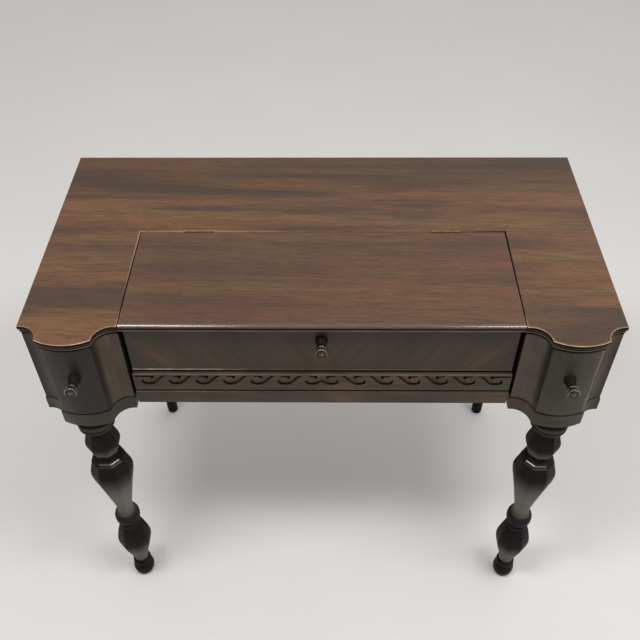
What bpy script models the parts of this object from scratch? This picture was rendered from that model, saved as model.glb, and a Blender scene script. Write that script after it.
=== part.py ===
"""A spinet desk: two bow-front drawer pedestals on turned legs, a top whose lid folds back with its
front flap, a writing bed that pulls out, and a small gallery under the rear strip of the top.

Metres, +Z up, front towards -Y. The origin is on the floor, in the middle of the desk's bounding box.
Pieces are laid out in desk coordinates: x from the middle, y back from the front line (the lid's front
edge) and z up from the floor. The empty named desk carries them to the origin.
"""

import math

import bmesh
import bpy
from mathutils import Vector

# Clearances
GLUE_GAP = 0.0003
LID_GAP = 0.0004
DRAWER_GAP = 0.0008
BED_TOP_GAP = 0.002

# Top
TOP_WIDTH = 0.968
TOP_DEPTH = 0.469
TOP_THICKNESS = 0.015
PEDESTAL_WIDTH = 0.159
LID_DEPTH = 0.2363

# Shaped pedestal front, measured on the edge of the top
COVE_RADIUS = 0.030
COVE_FLAT = 0.005
BULGE = 0.0113
COVE_STEPS = 6
BULGE_STEPS = 5

# Pedestals
LEG_HEIGHT = 0.5665
PLINTH_HEIGHT = 0.030
PLINTH_PROUD = 0.0015
CASE_HEIGHT = 0.1635
CASE_INSET = 0.003
INNER_FACE_SET = 0.0015
SIDE_THICKNESS = 0.012
STILE_BACK = 0.022
BACK_THICKNESS = 0.009

# Pedestal drawers
DRAWER_FRONT_BACK = -0.010
DRAWER_SIDE_HEIGHT = 0.1215
DRAWER_WALL = 0.008
DRAWER_BOTTOM_THICKNESS = 0.005
DRAWER_BOTTOM_RISE = 0.006
DRAWER_BACK_SPACE = 0.085
KNOB_RISE = 0.0975
KNOB_INWARD = 0.0045

# Turned knobs
KNOB_LENGTH = 0.034
KNOB_RADIUS = 0.0115
KNOB_DOWEL_RADIUS = 0.0038
KNOB_DOWEL_LENGTH = 0.010
KNOB_SIDES = 16
# From the seat to the tip, as (share of the length, share of the radius)
KNOB_PROFILE = (
    (0.00, 1.00),
    (0.08, 1.00),
    (0.17, 0.70),
    (0.34, 0.55),
    (0.41, 0.75),
    (0.48, 0.75),
    (0.55, 0.55),
    (0.66, 0.68),
    (0.80, 1.00),
    (0.92, 1.00),
    (0.97, 0.86),
    (1.00, 0.40),
)
SMALL_KNOB_LENGTH = 0.013
SMALL_KNOB_RADIUS = 0.006
SMALL_DOWEL_RADIUS = 0.002
SMALL_DOWEL_LENGTH = 0.005

# Front flap, under the lid
FLAP_FACE = 0.011
FLAP_THICKNESS = 0.016
FLAP_HEIGHT = 0.096
FLAP_TOP_GAP = 0.0005
FLAP_END_GAP = 0.006
FLAP_KNOB_DROP = 0.027

# Writing bed and its carved front rail
BED_DROP = 0.1055
BED_THICKNESS = 0.016
BED_END_GAP = 0.005
BED_BACK_SPACE = 0.018
RAIL_FACE = 0.005
RAIL_THICKNESS = 0.018
RAIL_HEIGHT = 0.0755
RAIL_GROOVE_RISE = 0.0325
RAIL_GROOVE_SIZE = 0.003
RUNNER_WIDTH = 0.018
RUNNER_HEIGHT = 0.020
TIE_RAIL_RISE = 0.008
TIE_RAIL_THICKNESS = 0.018
TIE_RAIL_DEPTH = 0.060
TIE_RAIL_FRONT = 0.035

# Cleats that carry the closed lid
LID_REST_CLEARANCE = 0.001
LID_REST_HEIGHT = 0.010
LID_REST_FRONT = 0.045
LID_REST_BACK_SPACE = 0.010

# Butt hinges
HINGE_END_SPACE = 0.105
HINGE_LENGTH = 0.050
HINGE_RISE = 0.00075
LEAF_HEIGHT = 0.0130
LEAF_THICKNESS = 0.0009
LEAF_OFFSET = 0.0009
KNUCKLE_RADIUS = 0.0014
KNUCKLE_LENGTH = 0.0176
PIN_RADIUS = 0.0005
KNUCKLE_SIDES = 12

# Gallery under the rear strip
GALLERY_SET_BACK = 0.006
GALLERY_BOARD = 0.006
MIDDLE_BAY_HALF = 0.072
SHELF_RISE = 0.044
INNER_DRAWER_FRONT = 0.009
INNER_DRAWER_WALL = 0.006
INNER_DRAWER_BOTTOM = 0.004
INNER_DRAWER_SIDE_HEIGHT = 0.034
INNER_DRAWER_BACK_SPACE = 0.020

# Legs
LEG_SIDES = 16
LEG_INWARD = 0.002
FRONT_LEG_SETBACK = 0.0305
REAR_LEG_SETBACK = 0.0225
REAR_LEG_TOP_RADIUS = 0.0195
REAR_LEG_FOOT_RADIUS = 0.013
LEG_DOWEL_RADIUS = 0.009
LEG_DOWEL_LENGTH = 0.018

# Front leg, as (drop below its top, half width, section); flats of an octagon face +-X and +-Y
ROUND, OCTAGON = "round", "octagon"
FRONT_LEG_UPPER = (
    (0.0000, 0.0285, ROUND),
    (0.0085, 0.0285, ROUND),
    (0.0105, 0.0308, ROUND),
    (0.0150, 0.0320, ROUND),
    (0.0195, 0.0308, ROUND),
    (0.0215, 0.0278, ROUND),
    (0.0235, 0.0278, ROUND),
    (0.0250, 0.0290, ROUND),
    (0.0280, 0.0290, ROUND),
    (0.0300, 0.0235, ROUND),
    (0.0310, 0.0212, OCTAGON),
    (0.0365, 0.0245, OCTAGON),
    (0.0465, 0.0273, OCTAGON),
    (0.0585, 0.0292, OCTAGON),
    (0.0765, 0.0302, OCTAGON),
    (0.0920, 0.0282, OCTAGON),
    (0.1140, 0.0235, OCTAGON),
    (0.1155, 0.0212, ROUND),
    (0.1175, 0.0240, ROUND),
    (0.1235, 0.0240, ROUND),
    (0.1255, 0.0212, ROUND),
    (0.1270, 0.0227, OCTAGON),
    (0.1300, 0.0240, OCTAGON),
    (0.1520, 0.0338, OCTAGON),
    (0.1710, 0.0375, OCTAGON),
    (0.1910, 0.0357, OCTAGON),
    (0.2115, 0.0313, OCTAGON),
    (0.2465, 0.0246, OCTAGON),
    (0.2715, 0.0197, OCTAGON),
    (0.3045, 0.0145, OCTAGON),
    (0.3195, 0.0165, OCTAGON),
    (0.3230, 0.0205, ROUND),
    (0.3300, 0.0243, ROUND),
    (0.3375, 0.0250, ROUND),
    (0.3450, 0.0243, ROUND),
    (0.3520, 0.0205, ROUND),
    (0.3620, 0.0215, ROUND),
    (0.3670, 0.0215, ROUND),
    (0.3690, 0.0190, ROUND),
    (0.3710, 0.0205, OCTAGON),
)
# The lower vase and foot, as (height above the floor, half width, section)
FRONT_LEG_LOWER = (
    (0.1700, 0.0280, OCTAGON),
    (0.1450, 0.0325, OCTAGON),
    (0.1250, 0.0300, OCTAGON),
    (0.0900, 0.0205, OCTAGON),
    (0.0580, 0.0145, OCTAGON),
    (0.0520, 0.0150, ROUND),
    (0.0490, 0.0190, ROUND),
    (0.0420, 0.0190, ROUND),
    (0.0390, 0.0160, ROUND),
    (0.0260, 0.0215, ROUND),
    (0.0120, 0.0215, ROUND),
    (0.0000, 0.0165, ROUND),
)

# Heights and places that follow from the sizes above
PLINTH_TOP = LEG_HEIGHT + PLINTH_HEIGHT
TOP_UNDERSIDE = PLINTH_TOP + CASE_HEIGHT
TOP_SURFACE = TOP_UNDERSIDE + TOP_THICKNESS
LID_WIDTH = TOP_WIDTH - 2 * PEDESTAL_WIDTH
PEDESTAL_CENTRE = (TOP_WIDTH - PEDESTAL_WIDTH) / 2
OUTER_FACE = TOP_WIDTH / 2 - CASE_INSET
INNER_FACE = LID_WIDTH / 2 + INNER_FACE_SET
BACK_FACE = TOP_DEPTH - CASE_INSET
BACK_FRONT = BACK_FACE - BACK_THICKNESS
DRAWER_CHORD = PEDESTAL_WIDTH - 2 * (COVE_RADIUS + COVE_FLAT)
COVE_CENTRE = Vector((DRAWER_CHORD / 2 + COVE_RADIUS, -COVE_RADIUS))
BULGE_RADIUS = ((DRAWER_CHORD / 2) ** 2 + BULGE**2) / (2 * BULGE)
BULGE_CENTRE = Vector((0, BULGE_RADIUS - COVE_RADIUS - BULGE))
DRAWER_FACE = CASE_INSET - COVE_RADIUS - BULGE
KNOB_SEAT = BULGE_CENTRE.y - math.sqrt((BULGE_RADIUS - CASE_INSET) ** 2 - KNOB_INWARD**2)
FRONT_TIP = KNOB_SEAT - GLUE_GAP - KNOB_LENGTH
BED_TOP = TOP_UNDERSIDE - BED_DROP
FLAP_HALF = INNER_FACE - FLAP_END_GAP
BED_HALF = INNER_FACE - BED_END_GAP
HINGE_OFFSET = LID_WIDTH / 2 - HINGE_END_SPACE
LEAF_SEAT = LEAF_OFFSET + LEAF_THICKNESS + GLUE_GAP
FLAP_BACK = FLAP_FACE + FLAP_THICKNESS
FLAP_FOOT = TOP_UNDERSIDE - FLAP_TOP_GAP - FLAP_HEIGHT
GALLERY_FRONT = LID_DEPTH + GALLERY_SET_BACK
GALLERY_FLOOR = BED_TOP + BED_TOP_GAP + GALLERY_BOARD
GALLERY_BACK = BACK_FRONT - GLUE_GAP
SHELF_UNDERSIDE = GALLERY_FLOOR + SHELF_RISE
INNER_DIVIDER = MIDDLE_BAY_HALF + GALLERY_BOARD / 2
OUTER_DIVIDER = (INNER_DIVIDER + INNER_FACE) / 2
FRONT_LEG_Y = DRAWER_FACE + FRONT_LEG_SETBACK
REAR_LEG_Y = BACK_FACE - REAR_LEG_SETBACK

# Finishes: base colour, roughness, metallic
TOP_FINISH = ((0.085, 0.030, 0.016), 0.35, 0.0)
CASE_FINISH = ((0.040, 0.016, 0.010), 0.40, 0.0)
LEG_FINISH = ((0.020, 0.010, 0.008), 0.38, 0.0)
LINING_FINISH = ((0.300, 0.170, 0.080), 0.55, 0.0)
BRASS_FINISH = ((0.420, 0.290, 0.110), 0.35, 1.0)

SIDES = (("left", -1), ("right", 1))
PIVOTS = {}


def clear_scene():
    for old in list(bpy.data.objects):
        bpy.data.objects.remove(old, do_unlink=True)


def make_material(name, finish):
    colour, roughness, metallic = finish
    material = bpy.data.materials.new(name)
    material.use_nodes = True
    shader = material.node_tree.nodes["Principled BSDF"]
    shader.inputs["Base Color"].default_value = (*colour, 1)
    shader.inputs["Roughness"].default_value = roughness
    shader.inputs["Metallic"].default_value = metallic
    return material


def hang(obj, point, pivot):
    """Parents an object to a pivot, at a point in desk coordinates."""
    bpy.context.scene.collection.objects.link(obj)
    if pivot:
        obj.parent = bpy.data.objects[pivot]
        obj.location = Vector(point) - PIVOTS[pivot]
    else:
        obj.location = point


def add_pivot(name, point, pivot=None):
    """An empty on the axis of the pieces that move together."""
    hang(bpy.data.objects.new(name, None), point, pivot)
    PIVOTS[name] = Vector(point)


def add_piece(name, shape, point, pivot, finish):
    """One named piece from a bmesh whose own origin lies at the point."""
    bmesh.ops.recalc_face_normals(shape, faces=shape.faces)
    mesh = bpy.data.meshes.new(name)
    shape.to_mesh(mesh)
    shape.free()
    mesh.materials.append(make_material(name, finish))
    piece = bpy.data.objects.new(name, mesh)
    hang(piece, point, pivot)
    return piece


def shade_round(piece):
    piece.data.shade_smooth()
    piece.data.set_sharp_from_angle(angle=math.radians(30))


def box_shape(size):
    shape = bmesh.new()
    bmesh.ops.create_cube(shape, size=1)
    bmesh.ops.scale(shape, vec=size, verts=shape.verts)
    return shape


def add_board(name, x_span, y_span, z_span, pivot, finish):
    low, high = (Vector(corner) for corner in zip(x_span, y_span, z_span))
    return add_piece(name, box_shape(high - low), (low + high) / 2, pivot, finish)


def prism_shape(outline, height):
    """A closed outline of (x, y) points, drawn up by a height."""
    shape = bmesh.new()
    base = shape.faces.new([shape.verts.new((x, y, 0)) for x, y in outline])
    drawn = bmesh.ops.extrude_face_region(shape, geom=[base])
    raised = [part for part in drawn["geom"] if isinstance(part, bmesh.types.BMVert)]
    bmesh.ops.translate(shape, vec=(0, 0, height), verts=raised)
    return shape


def add_prism(name, outline, z_span, pivot, finish):
    origin = Vector((*outline[0], z_span[0]))
    local = [(x - origin.x, y - origin.y) for x, y in outline]
    shape = prism_shape(local, z_span[1] - z_span[0])
    return add_piece(name, shape, origin, pivot, finish)


def ring_points(half_width, section, sides):
    """Points round a circle, or round an octagon of the same half width."""
    points = []
    for step in range(sides):
        angle = math.tau * step / sides + math.pi / 8
        off_flat = (angle + math.pi / 8) % (math.pi / 4) - math.pi / 8
        reach = half_width / math.cos(off_flat) if section == OCTAGON else half_width
        points.append((reach * math.cos(angle), reach * math.sin(angle)))
    return points


def turned_shape(stations, sides):
    """A turning along Z, from (height, half width, section) stations."""
    shape = bmesh.new()
    rings = []
    for height, half_width, section in stations:
        points = ring_points(half_width, section, sides)
        rings.append([shape.verts.new((x, y, height)) for x, y in points])
    for first, second in zip(rings, rings[1:]):
        for step in range(sides):
            after = (step + 1) % sides
            shape.faces.new((first[step], first[after], second[after], second[step]))
    shape.faces.new(rings[0])
    shape.faces.new(rings[-1])
    return shape


def combine(piece, tool, operation):
    """Cuts or joins a hidden tool shape, without merging anything else."""
    tool.hide_render = True
    tool.display_type = "WIRE"
    change = piece.modifiers.new(tool.name, "BOOLEAN")
    change.operation = operation
    change.solver = "EXACT"
    change.object = tool


def bore(piece, point, direction, radius, depth, pivot):
    """A blind hole that starts just outside a face at the point."""
    overrun = radius
    shape = turned_shape(((-overrun, radius, ROUND), (depth, radius, ROUND)), KNOB_SIDES)
    tool = add_piece(f"{piece.name}_bore", shape, point, pivot, CASE_FINISH)
    tool.rotation_mode = "QUATERNION"
    tool.rotation_quaternion = Vector((0, 0, 1)).rotation_difference(Vector(direction))
    combine(piece, tool, "DIFFERENCE")


def span(side, near, far):
    """An x span on one side of the desk, given outwards from the middle."""
    return sorted((side * near, side * far))


def cusp(inset):
    """Where the cove and the bow meet, for an outline set in from the edge of the top."""
    cove_radius = COVE_RADIUS + inset
    bulge_radius = BULGE_RADIUS - inset
    between = COVE_CENTRE - BULGE_CENTRE
    along = (bulge_radius**2 - cove_radius**2 + between.length_squared) / (2 * between.length)
    across = math.sqrt(bulge_radius**2 - along**2)
    direction = between.normalized()
    return BULGE_CENTRE + along * direction - across * Vector((-direction.y, direction.x))


def cove_points(inset):
    """The cove from the cusp out to the front line, x from the pedestal's middle."""
    radius = COVE_RADIUS + inset
    spoke = cusp(inset) - COVE_CENTRE
    start = math.atan2(spoke.y, spoke.x) % math.tau
    turn = math.pi / 2 - start
    angles = [start + turn * step / COVE_STEPS for step in range(COVE_STEPS + 1)]
    return [COVE_CENTRE + radius * Vector((math.cos(a), math.sin(a))) for a in angles]


def bulge_points(inset, half_width):
    """The bow between two x places either side of the pedestal's middle."""
    radius = BULGE_RADIUS - inset
    reach = math.asin(half_width / radius)
    steps = range(-BULGE_STEPS, BULGE_STEPS + 1)
    angles = [reach * step / BULGE_STEPS for step in steps]
    return [BULGE_CENTRE + radius * Vector((math.sin(a), -math.cos(a))) for a in angles]


def pedestal_outline(inset, inner_x, outer_x, back):
    """The plan of a pedestal on the right-hand side, x from the desk's middle."""
    cove = cove_points(inset)
    bow = bulge_points(inset, cove[0].x)
    front = [Vector((-p.x, p.y)) for p in reversed(cove)] + bow[1:-1] + cove
    outline = [(inner_x, inset)]
    outline += [(PEDESTAL_CENTRE + p.x, p.y) for p in front]
    outline += [(outer_x, inset), (outer_x, back), (inner_x, back)]
    return outline


def mirrored(outline, side):
    return [(side * x, y) for x, y in outline]


def make_top():
    heights = (TOP_UNDERSIDE, TOP_SURFACE)
    half = TOP_WIDTH / 2
    strip_front = LID_DEPTH + LID_GAP
    depth = (strip_front, TOP_DEPTH)
    strip = add_board("top_rear_strip", (-half, half), depth, heights, "desk", TOP_FINISH)
    wing = pedestal_outline(0, LID_WIDTH / 2 + LID_GAP, half, strip_front - GLUE_GAP)
    for label, side in SIDES:
        add_prism(f"top_wing_{label}", mirrored(wing, side), heights, "desk", TOP_FINISH)
    return strip


def make_lid():
    half = LID_WIDTH / 2 - LID_GAP
    depth = (0, LID_DEPTH - LID_GAP)
    return add_board("lid", (-half, half), depth, (TOP_UNDERSIDE, TOP_SURFACE), "lid_axis", TOP_FINISH)


def make_pedestal(label, side):
    wall = (PLINTH_TOP + GLUE_GAP, TOP_UNDERSIDE - GLUE_GAP)
    depth = (STILE_BACK + GLUE_GAP, BACK_FRONT - GLUE_GAP)
    inner = span(side, INNER_FACE, INNER_FACE + SIDE_THICKNESS)
    outer = span(side, OUTER_FACE - SIDE_THICKNESS, OUTER_FACE)
    add_board(f"{label}_inner_side", inner, depth, wall, "desk", CASE_FINISH)
    add_board(f"{label}_outer_side", outer, depth, wall, "desk", CASE_FINISH)
    for place, facing, far in (("inner", -1, INNER_FACE), ("outer", 1, OUTER_FACE)):
        cove = [(PEDESTAL_CENTRE + facing * p.x, p.y) for p in cove_points(CASE_INSET)]
        outline = cove + [(far, CASE_INSET), (far, STILE_BACK), (cove[0][0], STILE_BACK)]
        add_prism(f"{label}_{place}_stile", mirrored(outline, side), wall, "desk", CASE_FINISH)
    outer_face = OUTER_FACE + PLINTH_PROUD
    plan = pedestal_outline(CASE_INSET - PLINTH_PROUD, INNER_FACE, outer_face, BACK_FRONT - GLUE_GAP)
    heights = (LEG_HEIGHT, PLINTH_TOP)
    return add_prism(f"{label}_plinth", mirrored(plan, side), heights, "desk", CASE_FINISH)


def front_leg_stations():
    """The turning from the floor up, with the dowel on top."""
    upper = [(LEG_HEIGHT - drop, width, section) for drop, width, section in FRONT_LEG_UPPER]
    return list(reversed(upper + list(FRONT_LEG_LOWER)))


def leg_with_dowel(stations):
    """Turns a leg that ends a glue gap under the plinth, in a dowel of its own."""
    *body, (_, top_width, top_section) = stations
    top = LEG_HEIGHT - GLUE_GAP
    dowel_top = top + LEG_DOWEL_LENGTH
    ends = [
        (top, top_width, top_section),
        (top, LEG_DOWEL_RADIUS, ROUND),
        (dowel_top, LEG_DOWEL_RADIUS, ROUND),
    ]
    return turned_shape(body + ends, LEG_SIDES)


def make_legs(label, side, plinth):
    rear = [(0, REAR_LEG_FOOT_RADIUS, ROUND), (LEG_HEIGHT, REAR_LEG_TOP_RADIUS, ROUND)]
    x = side * (PEDESTAL_CENTRE - LEG_INWARD)
    for name, y, stations in (
        (f"front_leg_{label}", FRONT_LEG_Y, front_leg_stations()),
        (f"rear_leg_{label}", REAR_LEG_Y, rear),
    ):
        shade_round(add_piece(name, leg_with_dowel(stations), (x, y, 0), "desk", LEG_FINISH))
        hole = LEG_DOWEL_RADIUS + GLUE_GAP
        bore(plinth, (x, y, LEG_HEIGHT), (0, 0, 1), hole, LEG_DOWEL_LENGTH + GLUE_GAP, "desk")


def knob_stations(length, radius, dowel_radius, dowel_length):
    """A turned knob along Z, from the end of its dowel to the tip of its head."""
    dowel = [(-dowel_length, dowel_radius, ROUND), (0, dowel_radius, ROUND)]
    return dowel + [(along * length, out * radius, ROUND) for along, out in KNOB_PROFILE]


def add_knob(name, front, point, sizes, pivot):
    """A knob on a front's face at the point, its dowel in a hole of the front."""
    *_, dowel_radius, dowel_length = sizes
    x, y, z = point
    shape = turned_shape(knob_stations(*sizes), KNOB_SIDES)
    knob = add_piece(name, shape, (x, y - GLUE_GAP, z), pivot, LEG_FINISH)
    knob.rotation_euler = (math.radians(90), 0, 0)
    shade_round(knob)
    bore(front, point, (0, 1, 0), dowel_radius + GLUE_GAP, dowel_length + GLUE_GAP, pivot)


def make_drawer(label, side):
    """A bow-front drawer whose box passes between the stiles."""
    pivot = f"{label}_drawer_slide"
    middle = side * PEDESTAL_CENTRE
    floor = PLINTH_TOP + GLUE_GAP
    half = cusp(CASE_INSET).x - DRAWER_GAP
    add_pivot(pivot, (middle, DRAWER_FACE, floor), "desk")
    bow = [(middle + p.x, p.y) for p in bulge_points(CASE_INSET, half)]
    outline = bow + [(middle + half, DRAWER_FRONT_BACK), (middle - half, DRAWER_FRONT_BACK)]
    heights = (floor + DRAWER_GAP, TOP_UNDERSIDE - DRAWER_GAP)
    front = add_prism(f"{label}_drawer_front", outline, heights, pivot, CASE_FINISH)

    start = DRAWER_FRONT_BACK + GLUE_GAP
    end = BACK_FRONT - DRAWER_BACK_SPACE
    wall = (floor, floor + DRAWER_SIDE_HEIGHT)
    inside = half - DRAWER_WALL - GLUE_GAP
    for place, facing in SIDES:
        x_span = sorted((middle + facing * half, middle + facing * (half - DRAWER_WALL)))
        add_board(f"{label}_drawer_{place}_side", x_span, (start, end), wall, pivot, LINING_FINISH)
    across = (middle - inside, middle + inside)
    back = end - DRAWER_WALL
    base = floor + DRAWER_BOTTOM_RISE
    add_board(f"{label}_drawer_back", across, (back, end), wall, pivot, LINING_FINISH)
    bottom = (base, base + DRAWER_BOTTOM_THICKNESS)
    add_board(f"{label}_drawer_bottom", across, (start, back - GLUE_GAP), bottom, pivot, LINING_FINISH)
    sizes = (KNOB_LENGTH, KNOB_RADIUS, KNOB_DOWEL_RADIUS, KNOB_DOWEL_LENGTH)
    seat = (side * (PEDESTAL_CENTRE - KNOB_INWARD), KNOB_SEAT, PLINTH_TOP + KNOB_RISE)
    add_knob(f"{label}_drawer_knob", front, seat, sizes, pivot)


def make_flap():
    top = TOP_UNDERSIDE - FLAP_TOP_GAP
    flap = add_board(
        "flap", (-FLAP_HALF, FLAP_HALF), (FLAP_FACE, FLAP_BACK), (FLAP_FOOT, top), "flap_axis", CASE_FINISH
    )
    sizes = (KNOB_LENGTH, KNOB_RADIUS, KNOB_DOWEL_RADIUS, KNOB_DOWEL_LENGTH)
    add_knob("flap_knob", flap, (0, FLAP_FACE, TOP_UNDERSIDE - FLAP_KNOB_DROP), sizes, "flap_axis")


def make_writing_bed():
    """The board that pulls out, with the rail that closes its front."""
    add_pivot("writing_bed_slide", (0, RAIL_FACE, BED_TOP), "desk")
    across = (-BED_HALF, BED_HALF)
    rail_back = RAIL_FACE + RAIL_THICKNESS
    foot = BED_TOP - RAIL_HEIGHT
    groove = foot + RAIL_GROOVE_RISE
    notch = RAIL_GROOVE_SIZE
    profile = (
        (RAIL_FACE, foot),
        (rail_back, foot),
        (rail_back, BED_TOP),
        (RAIL_FACE, BED_TOP),
        (RAIL_FACE, groove + notch),
        (RAIL_FACE + notch, groove),
        (RAIL_FACE, groove - notch),
    )
    local = [(y - RAIL_FACE, z - BED_TOP) for y, z in profile]
    shape = prism_shape(local, 2 * BED_HALF)
    for vertex in shape.verts:
        y, z, x = vertex.co
        vertex.co = (x - BED_HALF, y, z)
    add_piece("carved_rail", shape, (0, RAIL_FACE, BED_TOP), "writing_bed_slide", CASE_FINISH)
    depth = (rail_back + GLUE_GAP, BACK_FRONT - BED_BACK_SPACE)
    heights = (BED_TOP - BED_THICKNESS, BED_TOP)
    add_board("writing_bed", across, depth, heights, "writing_bed_slide", CASE_FINISH)


def make_bed_carriers():
    """Runners and cleats on the pedestals' inner faces, and the rail that ties the pedestals."""
    runner_top = BED_TOP - BED_THICKNESS - GLUE_GAP
    seat = INNER_FACE - GLUE_GAP
    rest_top = TOP_UNDERSIDE - GLUE_GAP
    runner_depth = (RAIL_FACE + RAIL_THICKNESS + DRAWER_GAP, BACK_FRONT - GLUE_GAP)
    for label, side in SIDES:
        runner = span(side, seat - RUNNER_WIDTH, seat)
        runner_heights = (runner_top - RUNNER_HEIGHT, runner_top)
        add_board(f"bed_runner_{label}", runner, runner_depth, runner_heights, "desk", LINING_FINISH)
        rest = span(side, FLAP_HALF + LID_REST_CLEARANCE, seat)
        rest_depth = (LID_REST_FRONT, LID_DEPTH - LID_REST_BACK_SPACE)
        rest_heights = (rest_top - LID_REST_HEIGHT, rest_top)
        add_board(f"lid_rest_{label}", rest, rest_depth, rest_heights, "desk", CASE_FINISH)
    tie_depth = (TIE_RAIL_FRONT, TIE_RAIL_FRONT + TIE_RAIL_DEPTH)
    tie_foot = LEG_HEIGHT + TIE_RAIL_RISE
    tie_heights = (tie_foot, tie_foot + TIE_RAIL_THICKNESS)
    add_board("tie_rail", (-seat, seat), tie_depth, tie_heights, "desk", LINING_FINISH)


def make_back():
    heights = (LEG_HEIGHT, TOP_UNDERSIDE - GLUE_GAP)
    add_board("back_panel", (-OUTER_FACE, OUTER_FACE), (BACK_FRONT, BACK_FACE), heights, "desk", CASE_FINISH)


def make_gallery():
    depth = (GALLERY_FRONT, GALLERY_BACK)
    seat = INNER_FACE - GLUE_GAP
    floor_heights = (GALLERY_FLOOR - GALLERY_BOARD, GALLERY_FLOOR)
    add_board("gallery_floor", (-seat, seat), depth, floor_heights, "desk", CASE_FINISH)
    upright = (GALLERY_FLOOR + GLUE_GAP, TOP_UNDERSIDE - GLUE_GAP)
    for place, offset in (("inner", INNER_DIVIDER), ("outer", OUTER_DIVIDER)):
        for label, side in SIDES:
            across = span(side, offset - GALLERY_BOARD / 2, offset + GALLERY_BOARD / 2)
            add_board(f"gallery_divider_{label}_{place}", across, depth, upright, "desk", CASE_FINISH)
    bay = MIDDLE_BAY_HALF - GLUE_GAP
    shelf_heights = (SHELF_UNDERSIDE, SHELF_UNDERSIDE + GALLERY_BOARD)
    add_board("gallery_shelf", (-bay, bay), depth, shelf_heights, "desk", CASE_FINISH)


def make_inner_drawer():
    """The small drawer in the middle bay of the gallery."""
    pivot = "inner_drawer_slide"
    floor = GALLERY_FLOOR + GLUE_GAP
    half = MIDDLE_BAY_HALF - DRAWER_GAP
    face = GALLERY_FRONT + DRAWER_GAP
    add_pivot(pivot, (0, face, floor), "desk")
    front_depth = (face, face + INNER_DRAWER_FRONT)
    heights = (floor, SHELF_UNDERSIDE - DRAWER_GAP)
    front = add_board("inner_drawer_front", (-half, half), front_depth, heights, pivot, CASE_FINISH)
    start = front_depth[1] + GLUE_GAP
    end = GALLERY_BACK - INNER_DRAWER_BACK_SPACE
    wall = (floor, floor + INNER_DRAWER_SIDE_HEIGHT)
    for label, side in SIDES:
        across = span(side, half - INNER_DRAWER_WALL, half)
        add_board(f"inner_drawer_{label}_side", across, (start, end), wall, pivot, LINING_FINISH)
    inside = half - INNER_DRAWER_WALL - GLUE_GAP
    back = end - INNER_DRAWER_WALL
    add_board("inner_drawer_back", (-inside, inside), (back, end), wall, pivot, LINING_FINISH)
    bottom = (floor, floor + INNER_DRAWER_BOTTOM)
    depth = (start, back - GLUE_GAP)
    add_board("inner_drawer_bottom", (-inside, inside), depth, bottom, pivot, LINING_FINISH)
    sizes = (SMALL_KNOB_LENGTH, SMALL_KNOB_RADIUS, SMALL_DOWEL_RADIUS, SMALL_DOWEL_LENGTH)
    add_knob("inner_drawer_knob", front, (0, face, sum(heights) / 2), sizes, pivot)


def leaf_plate(tabs_at_ends, facing):
    """A leaf that hangs below the axis, with tabs up to its own knuckles."""
    half = HINGE_LENGTH / 2
    shoulder = -KNUCKLE_RADIUS - GLUE_GAP
    inner = KNUCKLE_LENGTH / 2
    foot = -LEAF_HEIGHT
    if tabs_at_ends:
        edge = inner + GLUE_GAP
        right = [(half, 0), (edge, 0), (edge, shoulder)]
    else:
        right = [(half, shoulder), (inner, shoulder), (inner, 0)]
    left = [(-x, z) for x, z in reversed(right)]
    shape = prism_shape([(-half, foot), (half, foot)] + right + left, LEAF_THICKNESS)
    for vertex in shape.verts:
        x, z, y = vertex.co
        vertex.co = (x, facing * (LEAF_OFFSET + y), z)
    return shape


def end_knuckles():
    """The two outer knuckles with the pin between them, along Z."""
    half = HINGE_LENGTH / 2
    inner = KNUCKLE_LENGTH / 2 + GLUE_GAP
    outline = (
        (-half, KNUCKLE_RADIUS),
        (-inner, KNUCKLE_RADIUS),
        (-inner, PIN_RADIUS),
        (inner, PIN_RADIUS),
        (inner, KNUCKLE_RADIUS),
        (half, KNUCKLE_RADIUS),
    )
    return turned_shape([(along, radius, ROUND) for along, radius in outline], KNUCKLE_SIDES)


def middle_knuckle():
    half = KNUCKLE_LENGTH / 2
    return turned_shape([(-half, KNUCKLE_RADIUS, ROUND), (half, KNUCKLE_RADIUS, ROUND)], KNUCKLE_SIDES)


def add_barrel(leaf, shape, operation, label, point, pivot):
    """Joins or cuts a shape that lies along the hinge's axis."""
    tool = add_piece(f"{leaf.name}_{label}", shape, point, pivot, BRASS_FINISH)
    tool.rotation_euler = (0, math.radians(90), 0)
    combine(leaf, tool, operation)


def add_leaf(name, with_pin, point, turn, pivot):
    """One half of a butt hinge, turned about its axis at the point."""
    facing = 1 if with_pin else -1
    leaf = add_piece(name, leaf_plate(with_pin, facing), point, pivot, BRASS_FINISH)
    leaf.rotation_euler = (turn, 0, 0)
    if with_pin:
        add_barrel(leaf, end_knuckles(), "UNION", "knuckles", point, pivot)
        return
    add_barrel(leaf, middle_knuckle(), "UNION", "knuckle", point, pivot)
    bore_radius = PIN_RADIUS + GLUE_GAP
    pin_room = turned_shape(
        [(-HINGE_LENGTH, bore_radius, ROUND), (HINGE_LENGTH, bore_radius, ROUND)], KNUCKLE_SIDES
    )
    add_barrel(leaf, pin_room, "DIFFERENCE", "pin_room", point, pivot)


def cut_gain(board, point, pivot):
    """A recess in a board's edge for one hinge leaf and the knuckles."""
    length = HINGE_LENGTH + 2 * GLUE_GAP
    depth = 2 * LEAF_SEAT
    height = LEAF_HEIGHT + GLUE_GAP
    overrun = TOP_THICKNESS
    middle = Vector(point) + Vector((0, 0, (overrun - height) / 2))
    name = f"{board.name}_gain_{'left' if point[0] < 0 else 'right'}"
    tool = add_piece(name, box_shape((length, depth, height + overrun)), middle, pivot, TOP_FINISH)
    combine(board, tool, "DIFFERENCE")


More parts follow.
